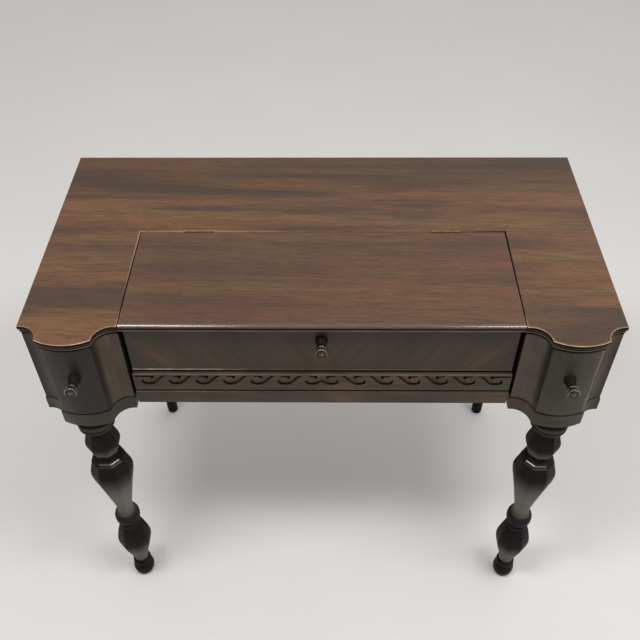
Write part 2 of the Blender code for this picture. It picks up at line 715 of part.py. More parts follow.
def make_hinges(lid, strip):
    for label, side in SIDES:
        x = side * HINGE_OFFSET
        lid_axis = (x, LID_DEPTH, TOP_SURFACE + HINGE_RISE)
        add_leaf(f"lid_hinge_{label}_fixed_leaf", True, lid_axis, 0, "desk")
        add_leaf(f"lid_hinge_{label}_lid_leaf", False, lid_axis, 0, "lid_axis")
        cut_gain(strip, lid_axis, "desk")
        cut_gain(lid, lid_axis, "lid_axis")
        flap_axis = (x, FLAP_BACK + LEAF_SEAT, TOP_UNDERSIDE - LEAF_SEAT)
        add_leaf(f"flap_hinge_{label}_lid_leaf", True, flap_axis, math.radians(90), "lid_axis")
        add_leaf(f"flap_hinge_{label}_flap_leaf", False, flap_axis, 0, "flap_axis")


def main():
    clear_scene()
    add_pivot("desk", (0, 0, 0))
    add_pivot("lid_axis", (0, LID_DEPTH, TOP_SURFACE + HINGE_RISE), "desk")
    add_pivot("flap_axis", (0, FLAP_BACK + LEAF_SEAT, TOP_UNDERSIDE - LEAF_SEAT), "lid_axis")
    strip = make_top()
    lid = make_lid()
    make_back()
    for label, side in SIDES:
        plinth = make_pedestal(label, side)
        make_legs(label, side, plinth)
        make_drawer(label, side)
    make_flap()
    make_writing_bed()
    make_bed_carriers()
    make_gallery()
    make_inner_drawer()
    make_hinges(lid, strip)
    bpy.data.objects["desk"].location.y = -(TOP_DEPTH + FRONT_TIP) / 2


main()
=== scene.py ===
"""The looks of a spinet desk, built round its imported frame.

Metres, +Z up, front towards -Y. Each piece keeps its place in its mesh and rides on a body of the frame.
"""

import math

import bmesh
import bpy
from mathutils import Matrix, Vector
from mathutils.geometry import interpolate_bezier, intersect_sphere_sphere_2d


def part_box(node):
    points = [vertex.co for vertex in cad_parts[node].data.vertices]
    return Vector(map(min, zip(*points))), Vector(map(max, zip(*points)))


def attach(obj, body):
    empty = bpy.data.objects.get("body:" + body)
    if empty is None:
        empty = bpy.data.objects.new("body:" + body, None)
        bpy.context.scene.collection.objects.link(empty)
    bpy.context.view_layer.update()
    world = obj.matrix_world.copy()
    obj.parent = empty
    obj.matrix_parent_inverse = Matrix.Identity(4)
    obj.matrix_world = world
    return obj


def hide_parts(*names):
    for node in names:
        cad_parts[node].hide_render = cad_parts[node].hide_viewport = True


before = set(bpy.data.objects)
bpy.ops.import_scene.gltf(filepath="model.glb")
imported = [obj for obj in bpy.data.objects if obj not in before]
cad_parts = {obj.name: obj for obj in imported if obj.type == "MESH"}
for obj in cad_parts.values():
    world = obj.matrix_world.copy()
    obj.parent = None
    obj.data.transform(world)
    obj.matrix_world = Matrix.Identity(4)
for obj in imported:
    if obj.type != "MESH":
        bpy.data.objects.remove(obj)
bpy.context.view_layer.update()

SIDES = (("left", -1), ("right", 1))
NEAR, MERGE = 1e-5, 1e-6
# Least share of a normal along an axis for a face to look that way
FACING = 0.5
# Places of a second and a third finish among a piece's materials
SECOND, THIRD = 1, 2

# Places read from the frame
LID_LOW, LID_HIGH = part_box("lid")
STRIP_LOW, STRIP_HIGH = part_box("top_rear_strip")
WING_LOW, WING_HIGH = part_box("top_wing_right")
PLINTH_LOW, PLINTH_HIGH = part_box("right_plinth")
OUTER_STILE_LOW, OUTER_STILE_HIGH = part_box("right_outer_stile")
INNER_STILE_LOW, INNER_STILE_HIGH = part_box("right_inner_stile")
DRAWER_LOW, DRAWER_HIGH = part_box("right_drawer_front")
FLAP_LOW, FLAP_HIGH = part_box("flap")
RAIL_LOW, RAIL_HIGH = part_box("carved_rail")
FIXED_LEAF_LOW, FIXED_LEAF_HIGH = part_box("lid_hinge_right_fixed_leaf")
LID_LEAF_LOW, LID_LEAF_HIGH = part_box("lid_hinge_right_lid_leaf")
FRONT_Y = LID_LOW.y
TOP_SURFACE = LID_HIGH.z
PEDESTAL_X = (DRAWER_LOW.x + DRAWER_HIGH.x) / 2
CASE_INSET = WING_HIGH.x - OUTER_STILE_HIGH.x
PLINTH_INSET = WING_HIGH.x - PLINTH_HIGH.x

# Shaped pedestal front, from the pedestal's middle on the front line
COVE_RADIUS = 0.03
COVE_FLAT = 0.005
BOW_DEPTH = FRONT_Y - WING_LOW.y - COVE_RADIUS
COVE_CENTRE = Vector((WING_HIGH.x - PEDESTAL_X - COVE_FLAT, -COVE_RADIUS))
BOW_CHORD = COVE_CENTRE.x - COVE_RADIUS
BOW_RADIUS = (BOW_CHORD**2 + BOW_DEPTH**2) / (2 * BOW_DEPTH)
BOW_CENTRE = Vector((0, BOW_RADIUS - COVE_RADIUS - BOW_DEPTH))
COVE_STEPS = 18
BOW_STEPS = 14

# Edge of the fixed top, as (set in, eased at a joint, drop, wear and painted light, wear at a joint).
# Wear above nought is bare wood, and below nought it is black stain. Down the face of this edge the values
# are mostly painted light: the bare arris is partly real wear and partly a painted highlight, the pale rows
# of the bead are a painted highlight, and the black band under the arris and the dark rows round the bead are
# painted shade.
TOP_EDGE = (
    (0.0030, 0.0026, 0.0000, 0.0, 0.0),
    (0.0010, 0.0010, 0.0001, 0.1, 0.0),
    (0.0004, 0.0005, 0.0002, 1.0, -0.4),
    (0.0000, 0.0002, 0.0010, 1.0, -1.0),
    (0.0000, 0.0000, 0.0014, -1.0, -1.0),
    (0.0000, 0.0000, 0.0056, -1.0, -1.0),
    (0.0000, 0.0000, 0.0068, -0.68, -1.0),
    (0.0005, 0.0000, 0.0082, -0.6, -1.0),
    (0.0016, 0.0000, 0.0095, -0.5, -1.0),
    (0.0036, 0.0000, 0.0100, -0.6, -1.0),
    (0.0036, 0.0000, 0.0114, -0.6, -1.0),
    (0.0020, 0.0000, 0.0117, -0.1, -1.0),
    (0.0012, 0.0000, 0.0126, 0.3, -1.0),
    (0.0012, 0.0000, 0.0136, 0.3, -1.0),
    (0.0022, 0.0000, 0.0145, -0.5, -1.0),
    (0.0040, 0.0000, 0.0150, 0.0, 0.0),
)
# Edge of the lid, with a rounder nose. The dimmed rows on the nose and the black rows under it are painted
# shade, and the pale rows of the bead are a painted highlight.
LID_EDGE = (
    (0.0082, 0.0026, 0.0000, 0.0, 0.0),
    (0.0068, 0.0010, 0.0002, 0.0, 0.0),
    (0.0050, 0.0005, 0.0009, -0.25, 0.0),
    (0.0032, 0.0002, 0.0018, -0.35, -1.0),
    (0.0016, 0.0000, 0.0028, -0.35, -1.0),
    (0.0006, 0.0000, 0.0040, -0.5, -1.0),
    (0.0000, 0.0000, 0.0050, -1.0, -1.0),
    (0.0006, 0.0000, 0.0066, -1.0, -1.0),
    (0.0018, 0.0000, 0.0076, -1.0, -1.0),
    (0.0036, 0.0000, 0.0081, -1.0, -1.0),
    (0.0036, 0.0000, 0.0092, -0.8, -1.0),
    (0.0020, 0.0000, 0.0096, 0.0, -1.0),
    (0.0012, 0.0000, 0.0106, 0.4, -1.0),
    (0.0012, 0.0000, 0.0124, 0.4, -1.0),
    (0.0022, 0.0000, 0.0136, 0.0, -1.0),
    (0.0036, 0.0000, 0.0141, -0.65, -1.0),
    (0.0040, 0.0000, 0.0150, 0.0, 0.0),
)
LEAF_CLEARANCE = 0.0003
EDGE_REACH = 0.004
JOINT_REACH = 0.06
NOSE_DEPTH = 0.007
NOSE_DROP = 0.0046
SEAM_DEPTH = 0.002
# Painted highlight along the left of the hinge seam, fainter in its middle, and painted shade at its right
# end
SEAM_LEFT_HIGHLIGHT, SEAM_MIDDLE_SHEEN, SEAM_RIGHT_SHADE = 0.4, 0.1, -1.0
SEAM_HIGHLIGHT_END = -0.5 * FIXED_LEAF_LOW.x
# Below this drop the top's edge takes the darker finish of the case, partly stain and partly painted shade
STAINED_AND_SHADED_EDGE = 0.0014
# How much of the pale arris, part wear and part painted highlight, the coves and the right end keep; the
# right side keeps more, as painted light from that side
LEFT_COVE_RUB_AND_GLINT, RIGHT_COVE_RUB_AND_GLINT, RIGHT_END_RUB_AND_GLINT = 0.4, 0.7, 0.6
STRIP_SEAM_BACK, STRIP_SEAM_WIDTH = 0.117, 0.0012
# Below this a face is black all over, from stain or painted shade, and takes the dull dark finish
STAINED_OR_SHADED = -0.7

# Largest angle that is shaded smooth, in degrees
SOFT_ANGLE, LEG_SOFT_ANGLE, KNOB_SOFT_ANGLE = 32, 38, 45

# Eased edges of plain boards and of the case
BOARD_EASE = 0.0008
CASE_CHAMFER = 0.0012
PLINTH_FOOT_EASE = 0.0008
# Depth of the painted shadow under the top at the head of the case fronts
HEAD_SHADOW = 0.006
# Painted highlight streak at each bow's outer end, and painted light and shade over each bow, darker on the
# left
BOW_END_HIGHLIGHT = {"left": 0.35, "right": 0.9}
BOW_LIGHT_AND_SHADE = {"left": -0.55, "right": 0.07}
# How light or dark the flat of each cove stile is painted, as painted light and shade
FLAT_LIGHT_AND_SHADE = {"left_inner": 0.05, "left_outer": -0.55, "right_inner": 0.18, "right_outer": -0.3}
# Painted shade deep in the coves and a painted highlight down the cusp, placed by shares of the way from the
# front line to the cusp
COVE_SHADE, SHADE_FROM, SHADE_SPAN = -0.75, 0.45, 0.4
CUSP_HIGHLIGHT, CUSP_FROM = 0.4, 0.97

# Where the pale line, part bare wood and part painted highlight, along the flap's foot and the rail's groove
# fades out, and what is left of it
PALE_FADE_FROM = -0.205, -0.12
PALE_RIGHT = 0.12

# Flap and rail, their mouldings as (set in from the face, rise, wear and painted light).
# The pale rows of the flap's bead and of the rail's lips are partly painted highlight, and the dark rows on
# the flap's head, round the groove, at the band line and on the rail's head are painted shade.
FLAP_FOOT_DROP = 0.0055
FLAP_BEAD = (
    (0.0010, 0.0000, 0.0),
    (-0.0003, 0.0004, 0.3),
    (-0.0010, 0.0014, 0.85),
    (-0.0010, 0.0024, 0.85),
    (-0.0003, 0.0034, 0.6),
    (0.0004, 0.0039, -0.4),
    (0.0000, 0.0043, 0.0),
)
FLAP_HEAD = ((0.0, -BOARD_EASE, 0.0), (BOARD_EASE, 0.0, -0.5))
RAIL_FOOT_DROP = 0.0014
RAIL_FOOT = ((0.0010, 0.0000, -0.3), (0.0000, 0.0010, 0.0))
RAIL_GROOVE_RISE = 0.0325
RAIL_GROOVE_REACH = 0.0022
RAIL_GROOVE = (
    (0.0000, -0.0056, 0.0),
    (0.0001, -0.0040, 0.3),
    (0.0006, -0.0028, 0.3),
    (0.0012, -0.0022, -0.5),
    (0.0050, -0.0020, -1.0),
    (0.0050, 0.0018, -1.0),
    (0.0000, 0.0020, 0.0),
)
BAND_FOOT_RISE = 0.049
BAND_HEIGHT = 0.0215
BAND_LINE = ((0.0000, -0.0005, 0.0), (0.0006, 0.0000, -0.5), (0.0000, 0.0005, 0.0))
RAIL_LIP_DROP = 0.001
RAIL_LIP_HIGHLIGHT = 0.25
RAIL_LIP = (
    (0.0000, -0.0030, 0.0),
    (0.0002, -0.0014, RAIL_LIP_HIGHLIGHT),
    (0.0008, -0.0005, RAIL_LIP_HIGHLIGHT),
    (0.0018, 0.0000, -0.5),
)
RAIL_HEAD_SHADE = -0.3

# Carving in the rail
CARVING_DEPTH = 0.004
CURL_DEPTH = 0.0048
# One wave, from the top of its curl round the hollow under it and up the back of the next wave
WAVE_PITCH = 0.04655
WAVES_A_SIDE = 7
FIRST_WAVE_X = -0.3055
WAVE_CURL = (
    (0.0105, 0.0215), (0.0140, 0.0190), (0.0166, 0.0145), (0.0155, 0.0095), (0.0110, 0.0060),
    (0.0060, 0.0050), (0.0028, 0.0068), (0.0017, 0.0103), (-0.0003, 0.0117), (-0.0022, 0.0100),
    (-0.0020, 0.0050), (0.0015, 0.0008), (0.0080, -0.0010),
)
WAVE_BACK = (
    (0.0155, -0.0006), (0.0210, 0.0026), (0.0280, 0.0102), (0.0345, 0.0178), (0.0405, 0.0215),
)
MIDDLE_PEAK = ((0.0140, -0.0008), (0.0185, 0.0004), (0.0222, 0.0040), (0.0262, 0.0060))
# The dark quirk round the outside of a curl, and the line that leads to the first one, cut deeper and black
# all over as glaze and painted shadow
CURL_QUIRK = (
    (0.0040, 0.0214), (0.0044, 0.0194), (0.0100, 0.0190), (0.0138, 0.0176), (0.0156, 0.0142),
    (0.0172, 0.0116), (0.0187, 0.0136), (0.0182, 0.0176), (0.0160, 0.0206), (0.0130, 0.0214),
)
LEAD_LINE = ((-0.0140, 0.0186), (0.0112, 0.0186), (0.0112, 0.0214), (-0.0140, 0.0214))
WAVE_STEPS, QUIRK_STEPS = 4, 2

# Turned legs, as runs of (drop below the top, half width), each round or eight-sided
ROUND, OCTAGON = "round", "octagon"
COLLAR = (
    (0.0000, 0.0283), (0.0070, 0.0283), (0.0086, 0.0292), (0.0098, 0.0316), (0.0118, 0.0330),
    (0.0150, 0.0336), (0.0182, 0.0330), (0.0202, 0.0318), (0.0212, 0.0306), (0.0218, 0.0300),
    (0.0232, 0.0300), (0.0240, 0.0312), (0.0252, 0.0323), (0.0270, 0.0326), (0.0286, 0.0318),
    (0.0296, 0.0285), (0.0302, 0.0215),
)
UPPER_BULB = (
    (0.0308, 0.0200), (0.0360, 0.0208), (0.0440, 0.0222), (0.0520, 0.0240), (0.0600, 0.0258),
    (0.0670, 0.0277), (0.0730, 0.0291), (0.0800, 0.0298), (0.0870, 0.0291), (0.0930, 0.0276),
    (0.0985, 0.0260), (0.1050, 0.0238),
)
THIN_RING = (
    (0.1056, 0.0190), (0.1135, 0.0190), (0.1145, 0.0198), (0.1160, 0.0205), (0.1180, 0.0207),
    (0.1200, 0.0204), (0.1210, 0.0196), (0.1216, 0.0185), (0.1234, 0.0185),
)
BALUSTER = (
    (0.1240, 0.0190), (0.1248, 0.0212), (0.1262, 0.0236), (0.1278, 0.0262), (0.1300, 0.0268),
    (0.1330, 0.0297), (0.1352, 0.0300), (0.1430, 0.0316), (0.1520, 0.0342), (0.1620, 0.0366),
    (0.1710, 0.0375), (0.1810, 0.0369), (0.1910, 0.0355), (0.2115, 0.0313), (0.2290, 0.0278),
    (0.2465, 0.0246), (0.2715, 0.0200), (0.2910, 0.0165), (0.3045, 0.0147), (0.3130, 0.0148),
    (0.3195, 0.0160),
)
TORUS = (
    (0.3205, 0.0176), (0.3228, 0.0208), (0.3260, 0.0230), (0.3310, 0.0246), (0.3375, 0.0251),
    (0.3440, 0.0246), (0.3490, 0.0230), (0.3522, 0.0206), (0.3535, 0.0197), (0.3560, 0.0197),
    (0.3570, 0.0213), (0.3595, 0.0220), (0.3650, 0.0220), (0.3675, 0.0213), (0.3684, 0.0195),
)
LOWER_BULB = (
    (0.3692, 0.0193), (0.3702, 0.0212), (0.3820, 0.0255), (0.3965, 0.0288), (0.4090, 0.0312),
    (0.4215, 0.0325), (0.4320, 0.0318), (0.4440, 0.0298), (0.4610, 0.0252), (0.4810, 0.0202),
    (0.4960, 0.0168), (0.5085, 0.0147),
)
FOOT = (
    (0.5095, 0.0147), (0.5140, 0.0150), (0.5154, 0.0168), (0.5175, 0.0186), (0.5210, 0.0192),
    (0.5245, 0.0186), (0.5266, 0.0168), (0.5275, 0.0160), (0.5305, 0.0168), (0.5360, 0.0196),
    (0.5420, 0.0216), (0.5490, 0.0220), (0.5560, 0.0212), (0.5625, 0.0190), (0.5665, 0.0165),
)
FRONT_LEG = (
    (ROUND, COLLAR), (OCTAGON, UPPER_BULB), (ROUND, THIN_RING), (OCTAGON, BALUSTER), (ROUND, TORUS),
    (OCTAGON, LOWER_BULB), (ROUND, FOOT),
)
LEDGES = ((0.1262, 0.1278), (0.1300, 0.1330))
# Painted reflection down the leg, as (drop, amount): pale on the beads and below each swelling
LEG_SHEEN = (
    (0.0000, 0.0), (0.0098, 0.0), (0.0118, 0.15), (0.0182, 0.15), (0.0212, 0.0), (0.0232, 0.0),
    (0.0252, 0.15), (0.0296, 0.0), (0.0800, 0.0), (0.0985, 0.40), (0.1050, 0.55), (0.1056, 0.0),
    (0.1620, 0.0), (0.1910, 0.16), (0.2115, 0.42), (0.2465, 0.72), (0.3045, 0.72), (0.3195, 0.35),
    (0.3228, 0.05), (0.3375, 0.0), (0.4215, 0.0), (0.4440, 0.20), (0.4610, 0.42), (0.4960, 0.55),
    (0.5085, 0.45), (0.5095, 0.0), (0.5665, 0.0),
)
LEDGE_TILT = 0.3
TURNING_STEPS = 48
ARRIS_ROUND = 0.0022
# Plain rear legs, eased at the head
REAR_LEG_HEAD, REAR_LEG_FOOT = 0.0195, 0.013
REAR_HEAD_EASE, REAR_HEAD_DROP = 0.001, 0.0012
# Heights and easing of the foot
REAR_FOOT_EASE = ((0.01, 0), (0.0025, 0.0004), (0, 0.0025))

# Knobs, as (distance from the seat, radius, wear and painted light). The black stem and base and the black
# hollow in the face are partly dark stain and partly painted shade.
KNOB = (
    (0.0000, 0.0100, -1.0), (0.0014, 0.0105, -1.0), (0.0034, 0.0103, -1.0), (0.0056, 0.0092, -1.0),
    (0.0084, 0.0080, -1.0), (0.0120, 0.0075, -1.0), (0.0165, 0.0074, -1.0), (0.0178, 0.0078, -1.0),
    (0.0186, 0.0084, -0.4), (0.0197, 0.0089, 0.0), (0.0212, 0.0089, 0.0), (0.0223, 0.0083, -0.4),
    (0.0229, 0.0070, -1.0), (0.0243, 0.0064, -1.0), (0.0252, 0.0072, -0.6), (0.0264, 0.0090, 0.1),
    (0.0280, 0.0101, 0.1), (0.0298, 0.0105, 0.2), (0.0310, 0.0102, 0.4), (0.0316, 0.0094, 0.3),
    (0.0314, 0.0084, -0.4), (0.0308, 0.0074, -1.0), (0.0308, 0.0056, -1.0), (0.0316, 0.0043, 0.0),
    (0.0330, 0.0031, 0.2), (0.0338, 0.0016, 0.3), (0.0340, 0.0000, 0.3),
)
SMALL_KNOB_SIZE = 0.013 / 0.034

# Camera, from the desk's middle on its front line and the floor
LENS = 45.02
CAMERA_PLACE = Vector((0.01260, -0.87742, 1.68265))
CAMERA_TURNS = (("Z", 0.14455), ("X", 44.52341), ("Y", 0.56156))

# Studio: how a pale room brightens along each axis, its darker left, and two softboxes
ROOM_GLOW = (("Z", -0.2, 0.8, 0.18, 0.54), ("Y", -0.5, 0.6, 0.0, 0.25), ("X", -0.2, 1.0, 0.0, 0.70))
ROOM_LEFT = -1, -0.2, 0.6, 1
ROOM_COLOUR = (1.0, 0.985, 0.96, 1)
SOFTBOXES = (
    ("left_softbox", (-0.81, -0.66, 2.75), (-0.45, 0.0, 0.6), (0.84, 0.30), 31),
    ("right_softbox", (0.99, -0.66, 2.75), (0.45, 0.0, 0.6), (0.98, 0.30), 29),
)
FLOOR_REACH = 6


# Materials

def start_finish(name):
    material = bpy.data.materials.new(name)
    material.use_nodes = True
    tree = material.node_tree
    return material, tree, tree.nodes["Principled BSDF"]


def set_inputs(tree, node, inputs):
    """Links a node's sockets or sets their values, by their names or places."""
    for label, value in inputs.items():
        if isinstance(value, bpy.types.NodeSocket):
            tree.links.new(value, node.inputs[label])
        else:
            node.inputs[label].default_value = value


def add_node(tree, kind, inputs, **settings):
    node = tree.nodes.new("ShaderNode" + kind)
    for label, value in settings.items():
        setattr(node, label, value)
    set_inputs(tree, node, inputs)
    return node


def blend_colours(tree, factor, first, second):
    """A Mix node's colour output, from its factor and colour sockets."""
    return add_node(tree, "Mix", {0: factor, 6: first, 7: second}, data_type="RGBA").outputs[2]


def grade(tree, factor, stops):
    """A colour ramp from (position, colour) stops."""
    node = add_node(tree, "ValToRGB", {"Fac": factor})
    ramp = node.color_ramp
    while len(ramp.elements) < len(stops):
        ramp.elements.new(0.5)
    for element, (position, colour) in zip(ramp.elements, stops):
        element.position = position
        element.color = (*colour, 1)
    return node.outputs["Color"]


def spread(tree, value, low, high, to_low, to_high):
    inputs = {"Value": value, "From Min": low, "From Max": high, "To Min": to_low, "To Max": to_high}
    return add_node(tree, "MapRange", inputs).outputs["Result"]


def grain_noise(tree, place, along, across, detail=3.0, bend=0.0):
    """Noise drawn out along X, with so many waves a metre along and across the grain."""
    stretch = add_node(tree, "Mapping", {"Vector": place, "Scale": (along, across, across)})
    inputs = {"Vector": stretch.outputs["Vector"], "Scale": 1.0, "Detail": detail, "Distortion": bend}
    return add_node(tree, "TexNoise", inputs).outputs["Fac"]


def own_place(tree):
    return add_node(tree, "TexCoord", {}).outputs["Object"]


def own_axes(tree):
    return add_node(tree, "SeparateXYZ", {"Vector": own_place(tree)}).outputs


def start_wood(name, turn, shift=(0, 0, 0)):
    """A new finish and the piece's own coordinates, turned so that the grain runs along X."""
    material, tree, shader = start_finish(name)
    inputs = {"Vector": own_place(tree), "Rotation": turn, "Location": shift}
    return material, tree, shader, add_node(tree, "Mapping", inputs).outputs["Vector"]


def math_node(tree, operation, first, second):
    return add_node(tree, "Math", {0: first, 1: second}, operation=operation).outputs["Value"]


def wood_surface(tree, shader, place, colour, roughness, specular, coat=0.0, coat_roughness=0.12):
    """Open pores, uneven gloss, a slightly rippled surface and a coat of polish."""
    pores = grain_noise(tree, place, 90.0, 1500.0, detail=1.0)
    pits = spread(tree, pores, 0.60, 0.72, 0.0, 0.45)
    colour = blend_colours(tree, pits, colour, (0.008, 0.004, 0.003, 1))
    smears = grain_noise(tree, place, 9.0, 22.0)
    height = math_node(tree, "SUBTRACT", smears, pits)
    bump = add_node(tree, "Bump", {"Strength": 0.2, "Distance": 0.0001, "Height": height})
    sockets = {
        "Base Color": colour,
        "Roughness": spread(tree, smears, 0.3, 0.7, *roughness),
        "Normal": bump.outputs["Normal"],
        "Specular IOR Level": specular,
        "Coat Weight": coat,
        "Coat Roughness": coat_roughness,
    }
    set_inputs(tree, shader, sockets)


def worn_and_lit_edges(tree, place, colour, bare, evenness=0.35):
    """Bare wood or black stain where the values painted on the mesh ask for it. Many of these values are
    painted light: pale values are also painted highlights and reflections, and black values are also painted
    shade.
    """
    wear_and_painted_light = add_node(tree, "Attribute", {}, attribute_name="wear_and_painted_light").outputs["Fac"]
    # Below nought: black, for real stain and for painted shade
    stained_or_shaded = spread(tree, wear_and_painted_light, 0.0, -1.0, 0.0, 1.0)
    colour = blend_colours(tree, stained_or_shaded, colour, (0.006, 0.005, 0.004, 1))
    patches = grain_noise(tree, place, 35.0, 35.0)
    # Above nought: bare colour, for real wear and for painted highlights
    amount = spread(tree, wear_and_painted_light, 0.0, 1.0, 0.0, 1.0)
    amount = math_node(tree, "MULTIPLY", amount, spread(tree, patches, 0.30, 0.55, evenness, 1.0))
    return blend_colours(tree, amount, colour, (*bare, 1))


def top_veneer(name, shift, calm, finish):
    """Brown veneer with broad dark and reddish patches, streaks and fine grain along the desk."""
    material, tree, shader, place = start_wood(name, (0, 0, math.radians(1.5)), shift)
    patches = grain_noise(tree, place, 1.5, 13.0, bend=0.3)
    streaks = grain_noise(tree, place, 3.0, 60.0, detail=4.0, bend=0.2)
    hues = grain_noise(tree, place, 2.5, 30.0)
    fine = grain_noise(tree, place, 25.0, 420.0, detail=2.0)
    tone = math_node(tree, "ADD", math_node(tree, "MULTIPLY", patches, 2.4), streaks)
    tone = spread(tree, tone, 1.7 - 0.30 / calm, 1.7 + 0.30 / calm, 0.0, 1.0)
    redness = spread(tree, hues, 0.38, 0.62, 0.0, 1.0)
    warm = blend_colours(tree, redness, (0.125, 0.067, 0.031, 1), (0.116, 0.050, 0.027, 1))
    colour = blend_colours(tree, tone, (0.055, 0.033, 0.022, 1), warm)
    colour = blend_colours(tree, spread(tree, fine, 0.58, 0.36, 0.0, 0.5), colour, (0.040, 0.022, 0.014, 1))
    colour = rear_veneer(tree, colour)
    # The pale bare colour also stands for the painted highlight along the arris
    colour = worn_and_lit_edges(tree, place, colour, (0.55, 0.36, 0.19))
    wood_surface(tree, shader, place, colour, **finish)
    return material


def rear_veneer(tree, colour):
    """The greyer leaf of veneer behind the seam along the rear strip."""
    seam = STRIP_HIGH.y - STRIP_SEAM_BACK
    behind = spread(tree, own_axes(tree)["Y"], seam, seam + STRIP_SEAM_WIDTH, 0.0, 0.35)
    return blend_colours(tree, behind, colour, (0.034, 0.022, 0.013, 1))


def streaked(tree, place, colour, waves, reach, dark):
    """Fine dark streaks of so many waves a metre, over a reach of (from, to, share)."""
    streaks = grain_noise(tree, place, *waves, detail=2.0)
    return blend_colours(tree, spread(tree, streaks, *reach, 0.0), colour, (*dark, 1))


def case_veneer(name, turn, depth):
    """Near-black brown stain with reddish patches, lighter or darker by a given factor, darker inside the
    desk.
    """
    material, tree, shader, place = start_wood(name, turn)
    bands = grain_noise(tree, place, 5.0, 16.0, bend=0.8)
    tones = ((0.34, (0.024, 0.018, 0.011)), (0.54, (0.038, 0.027, 0.016)), (0.76, (0.082, 0.038, 0.021)))
    colour = grade(tree, bands, [(position, Vector(tone) * depth) for position, tone in tones])
    colour = streaked(tree, place, colour, (12.0, 150.0), (0.40, 0.62, 0.35), (0.011, 0.008, 0.006))
    # The greyish bare colour also stands for the painted highlights on the cusps and bow ends
    colour = worn_and_lit_edges(tree, place, colour, (0.20, 0.175, 0.145))
    wood_surface(tree, shader, place, colour, **SATIN_CASE)
    return material


def flap_veneer():
    """Dark veneer book-matched about the middle, with faint slanting reddish figure."""
    material, tree, shader = start_finish("flap_veneer")
    axes = own_axes(tree)
    matched = math_node(tree, "ABSOLUTE", axes["X"], 0.0)
    joined = add_node(tree, "CombineXYZ", {"X": matched, "Y": axes["Y"], "Z": axes["Z"]})
    slanted = {"Vector": joined.outputs["Vector"], "Rotation": (0, math.radians(58), 0)}
    place = add_node(tree, "Mapping", slanted).outputs["Vector"]
    figure = grain_noise(tree, place, 4.0, 15.0, bend=1.2)
    tones = ((0.36, (0.036, 0.027, 0.017)), (0.54, (0.044, 0.031, 0.019)), (0.74, (0.076, 0.038, 0.021)))
    colour = grade(tree, figure, tones)
    colour = streaked(tree, place, colour, (8.0, 130.0), (0.40, 0.64, 0.30), (0.016, 0.012, 0.009))
    # The bare colour also stands for the painted highlight along the flap's bead
    colour = worn_and_lit_edges(tree, place, colour, (0.32, 0.25, 0.18))
    wood_surface(tree, shader, place, colour, **SATIN_CASE)
    return material


def turned_wood(name, bare, finish):
    """Black-brown stain on the turnings, paler where the values on the mesh ask for it: rubbed wood on the
    knobs, and painted reflections on the legs.
    """
    material, tree, shader, place = start_wood(name, UPRIGHT)
    bands = grain_noise(tree, place, 6.0, 40.0, bend=0.5)
    tones = ((0.35, (0.004, 0.003, 0.003)), (0.55, (0.007, 0.005, 0.004)), (0.78, (0.018, 0.010, 0.006)))
    colour = grade(tree, bands, tones)
    colour = worn_and_lit_edges(tree, place, colour, bare, evenness=0.9)
    wood_surface(tree, shader, place, colour, **finish)
    return material


def drawer_wood(name, turn):
    """Plain unstained hardwood of the drawer linings and runners."""
    material, tree, shader, place = start_wood(name, turn)
    bands = grain_noise(tree, place, 2.0, 40.0, detail=4.0, bend=0.6)
    tones = ((0.30, (0.235, 0.132, 0.066)), (0.52, (0.330, 0.200, 0.105)), (0.75, (0.430, 0.275, 0.155)))
    colour = grade(tree, bands, tones)
    colour = streaked(tree, place, colour, (8.0, 300.0), (0.38, 0.62, 0.35), (0.190, 0.105, 0.052))
    wood_surface(tree, shader, place, colour, **BARE_WOOD)
    return material


def mottled(name, waves, tones, roughness, sockets):
    """A plain finish in two mottled tones."""
    material, tree, shader, place = start_wood(name, LEVEL)
    patches = grain_noise(tree, place, *waves)
    gloss = spread(tree, patches, 0.3, 0.7, *roughness)
    set_inputs(tree, shader, {"Base Color": grade(tree, patches, tones), "Roughness": gloss, **sockets})
    return material


def dark_glaze_and_shade():
    """Dark glaze left in hollows, grooves and deep joints, also used as painted shade on faces painted black
    and on parts that sit in shade.
    """
    tones = ((0.35, (0.006, 0.005, 0.004)), (0.70, (0.013, 0.010, 0.008)))
    return mottled("dark_glaze_and_shade", (60.0, 120.0), tones, (0.70, 0.90), {"Specular IOR Level": 0.05})


def aged_brass():
    """Brass gone brown, a little brighter where it is rubbed."""
    tones = ((0.32, (0.080, 0.049, 0.028)), (0.66, (0.150, 0.094, 0.054)))
    return mottled("aged_brass", (90.0, 140.0, 4.0), tones, (0.60, 0.45), {"Metallic": 0.15})


def pale_floor():
    material, tree, shader, place = start_wood("pale_floor", LEVEL)
    clouds = grain_noise(tree, place, 2.0, 2.0)
    colour = grade(tree, clouds, ((0.3, (0.580, 0.575, 0.557)), (0.7, (0.598, 0.593, 0.576))))
    set_inputs(tree, shader, {"Base Color": colour, "Roughness": 0.75})
    return material


UPRIGHT = (0, math.radians(90), 0)
LEVEL = (0, 0, 0)
DEPTHWISE = (0, 0, math.radians(90))
SATIN_TOP = {"roughness": (0.34, 0.48), "specular": 0.20, "coat": 0.04}
POLISHED_NOSE = {**SATIN_TOP, "coat": 0.6, "coat_roughness": 0.15}
SATIN_CASE = {"roughness": (0.36, 0.50), "specular": 0.28}
SATIN_LEG = {"roughness": (0.46, 0.56), "specular": 0.10}
POLISHED_LEDGE = {"roughness": (0.30, 0.40), "specular": 0.50, "coat": 0.6, "coat_roughness": 0.28}
POLISHED_KNOB = {"roughness": (0.22, 0.32), "specular": 0.30, "coat": 0.9, "coat_roughness": 0.08}
BARE_WOOD = {"roughness": (0.52, 0.66), "specular": 0.40}
LID_FIGURE = (4.4, 2.4, 0), 0.6
TOP_VENEER = top_veneer("top_veneer", (1.1, 0.8, 0), 1.35, SATIN_TOP)
LID_VENEER = top_veneer("lid_veneer", *LID_FIGURE, SATIN_TOP)
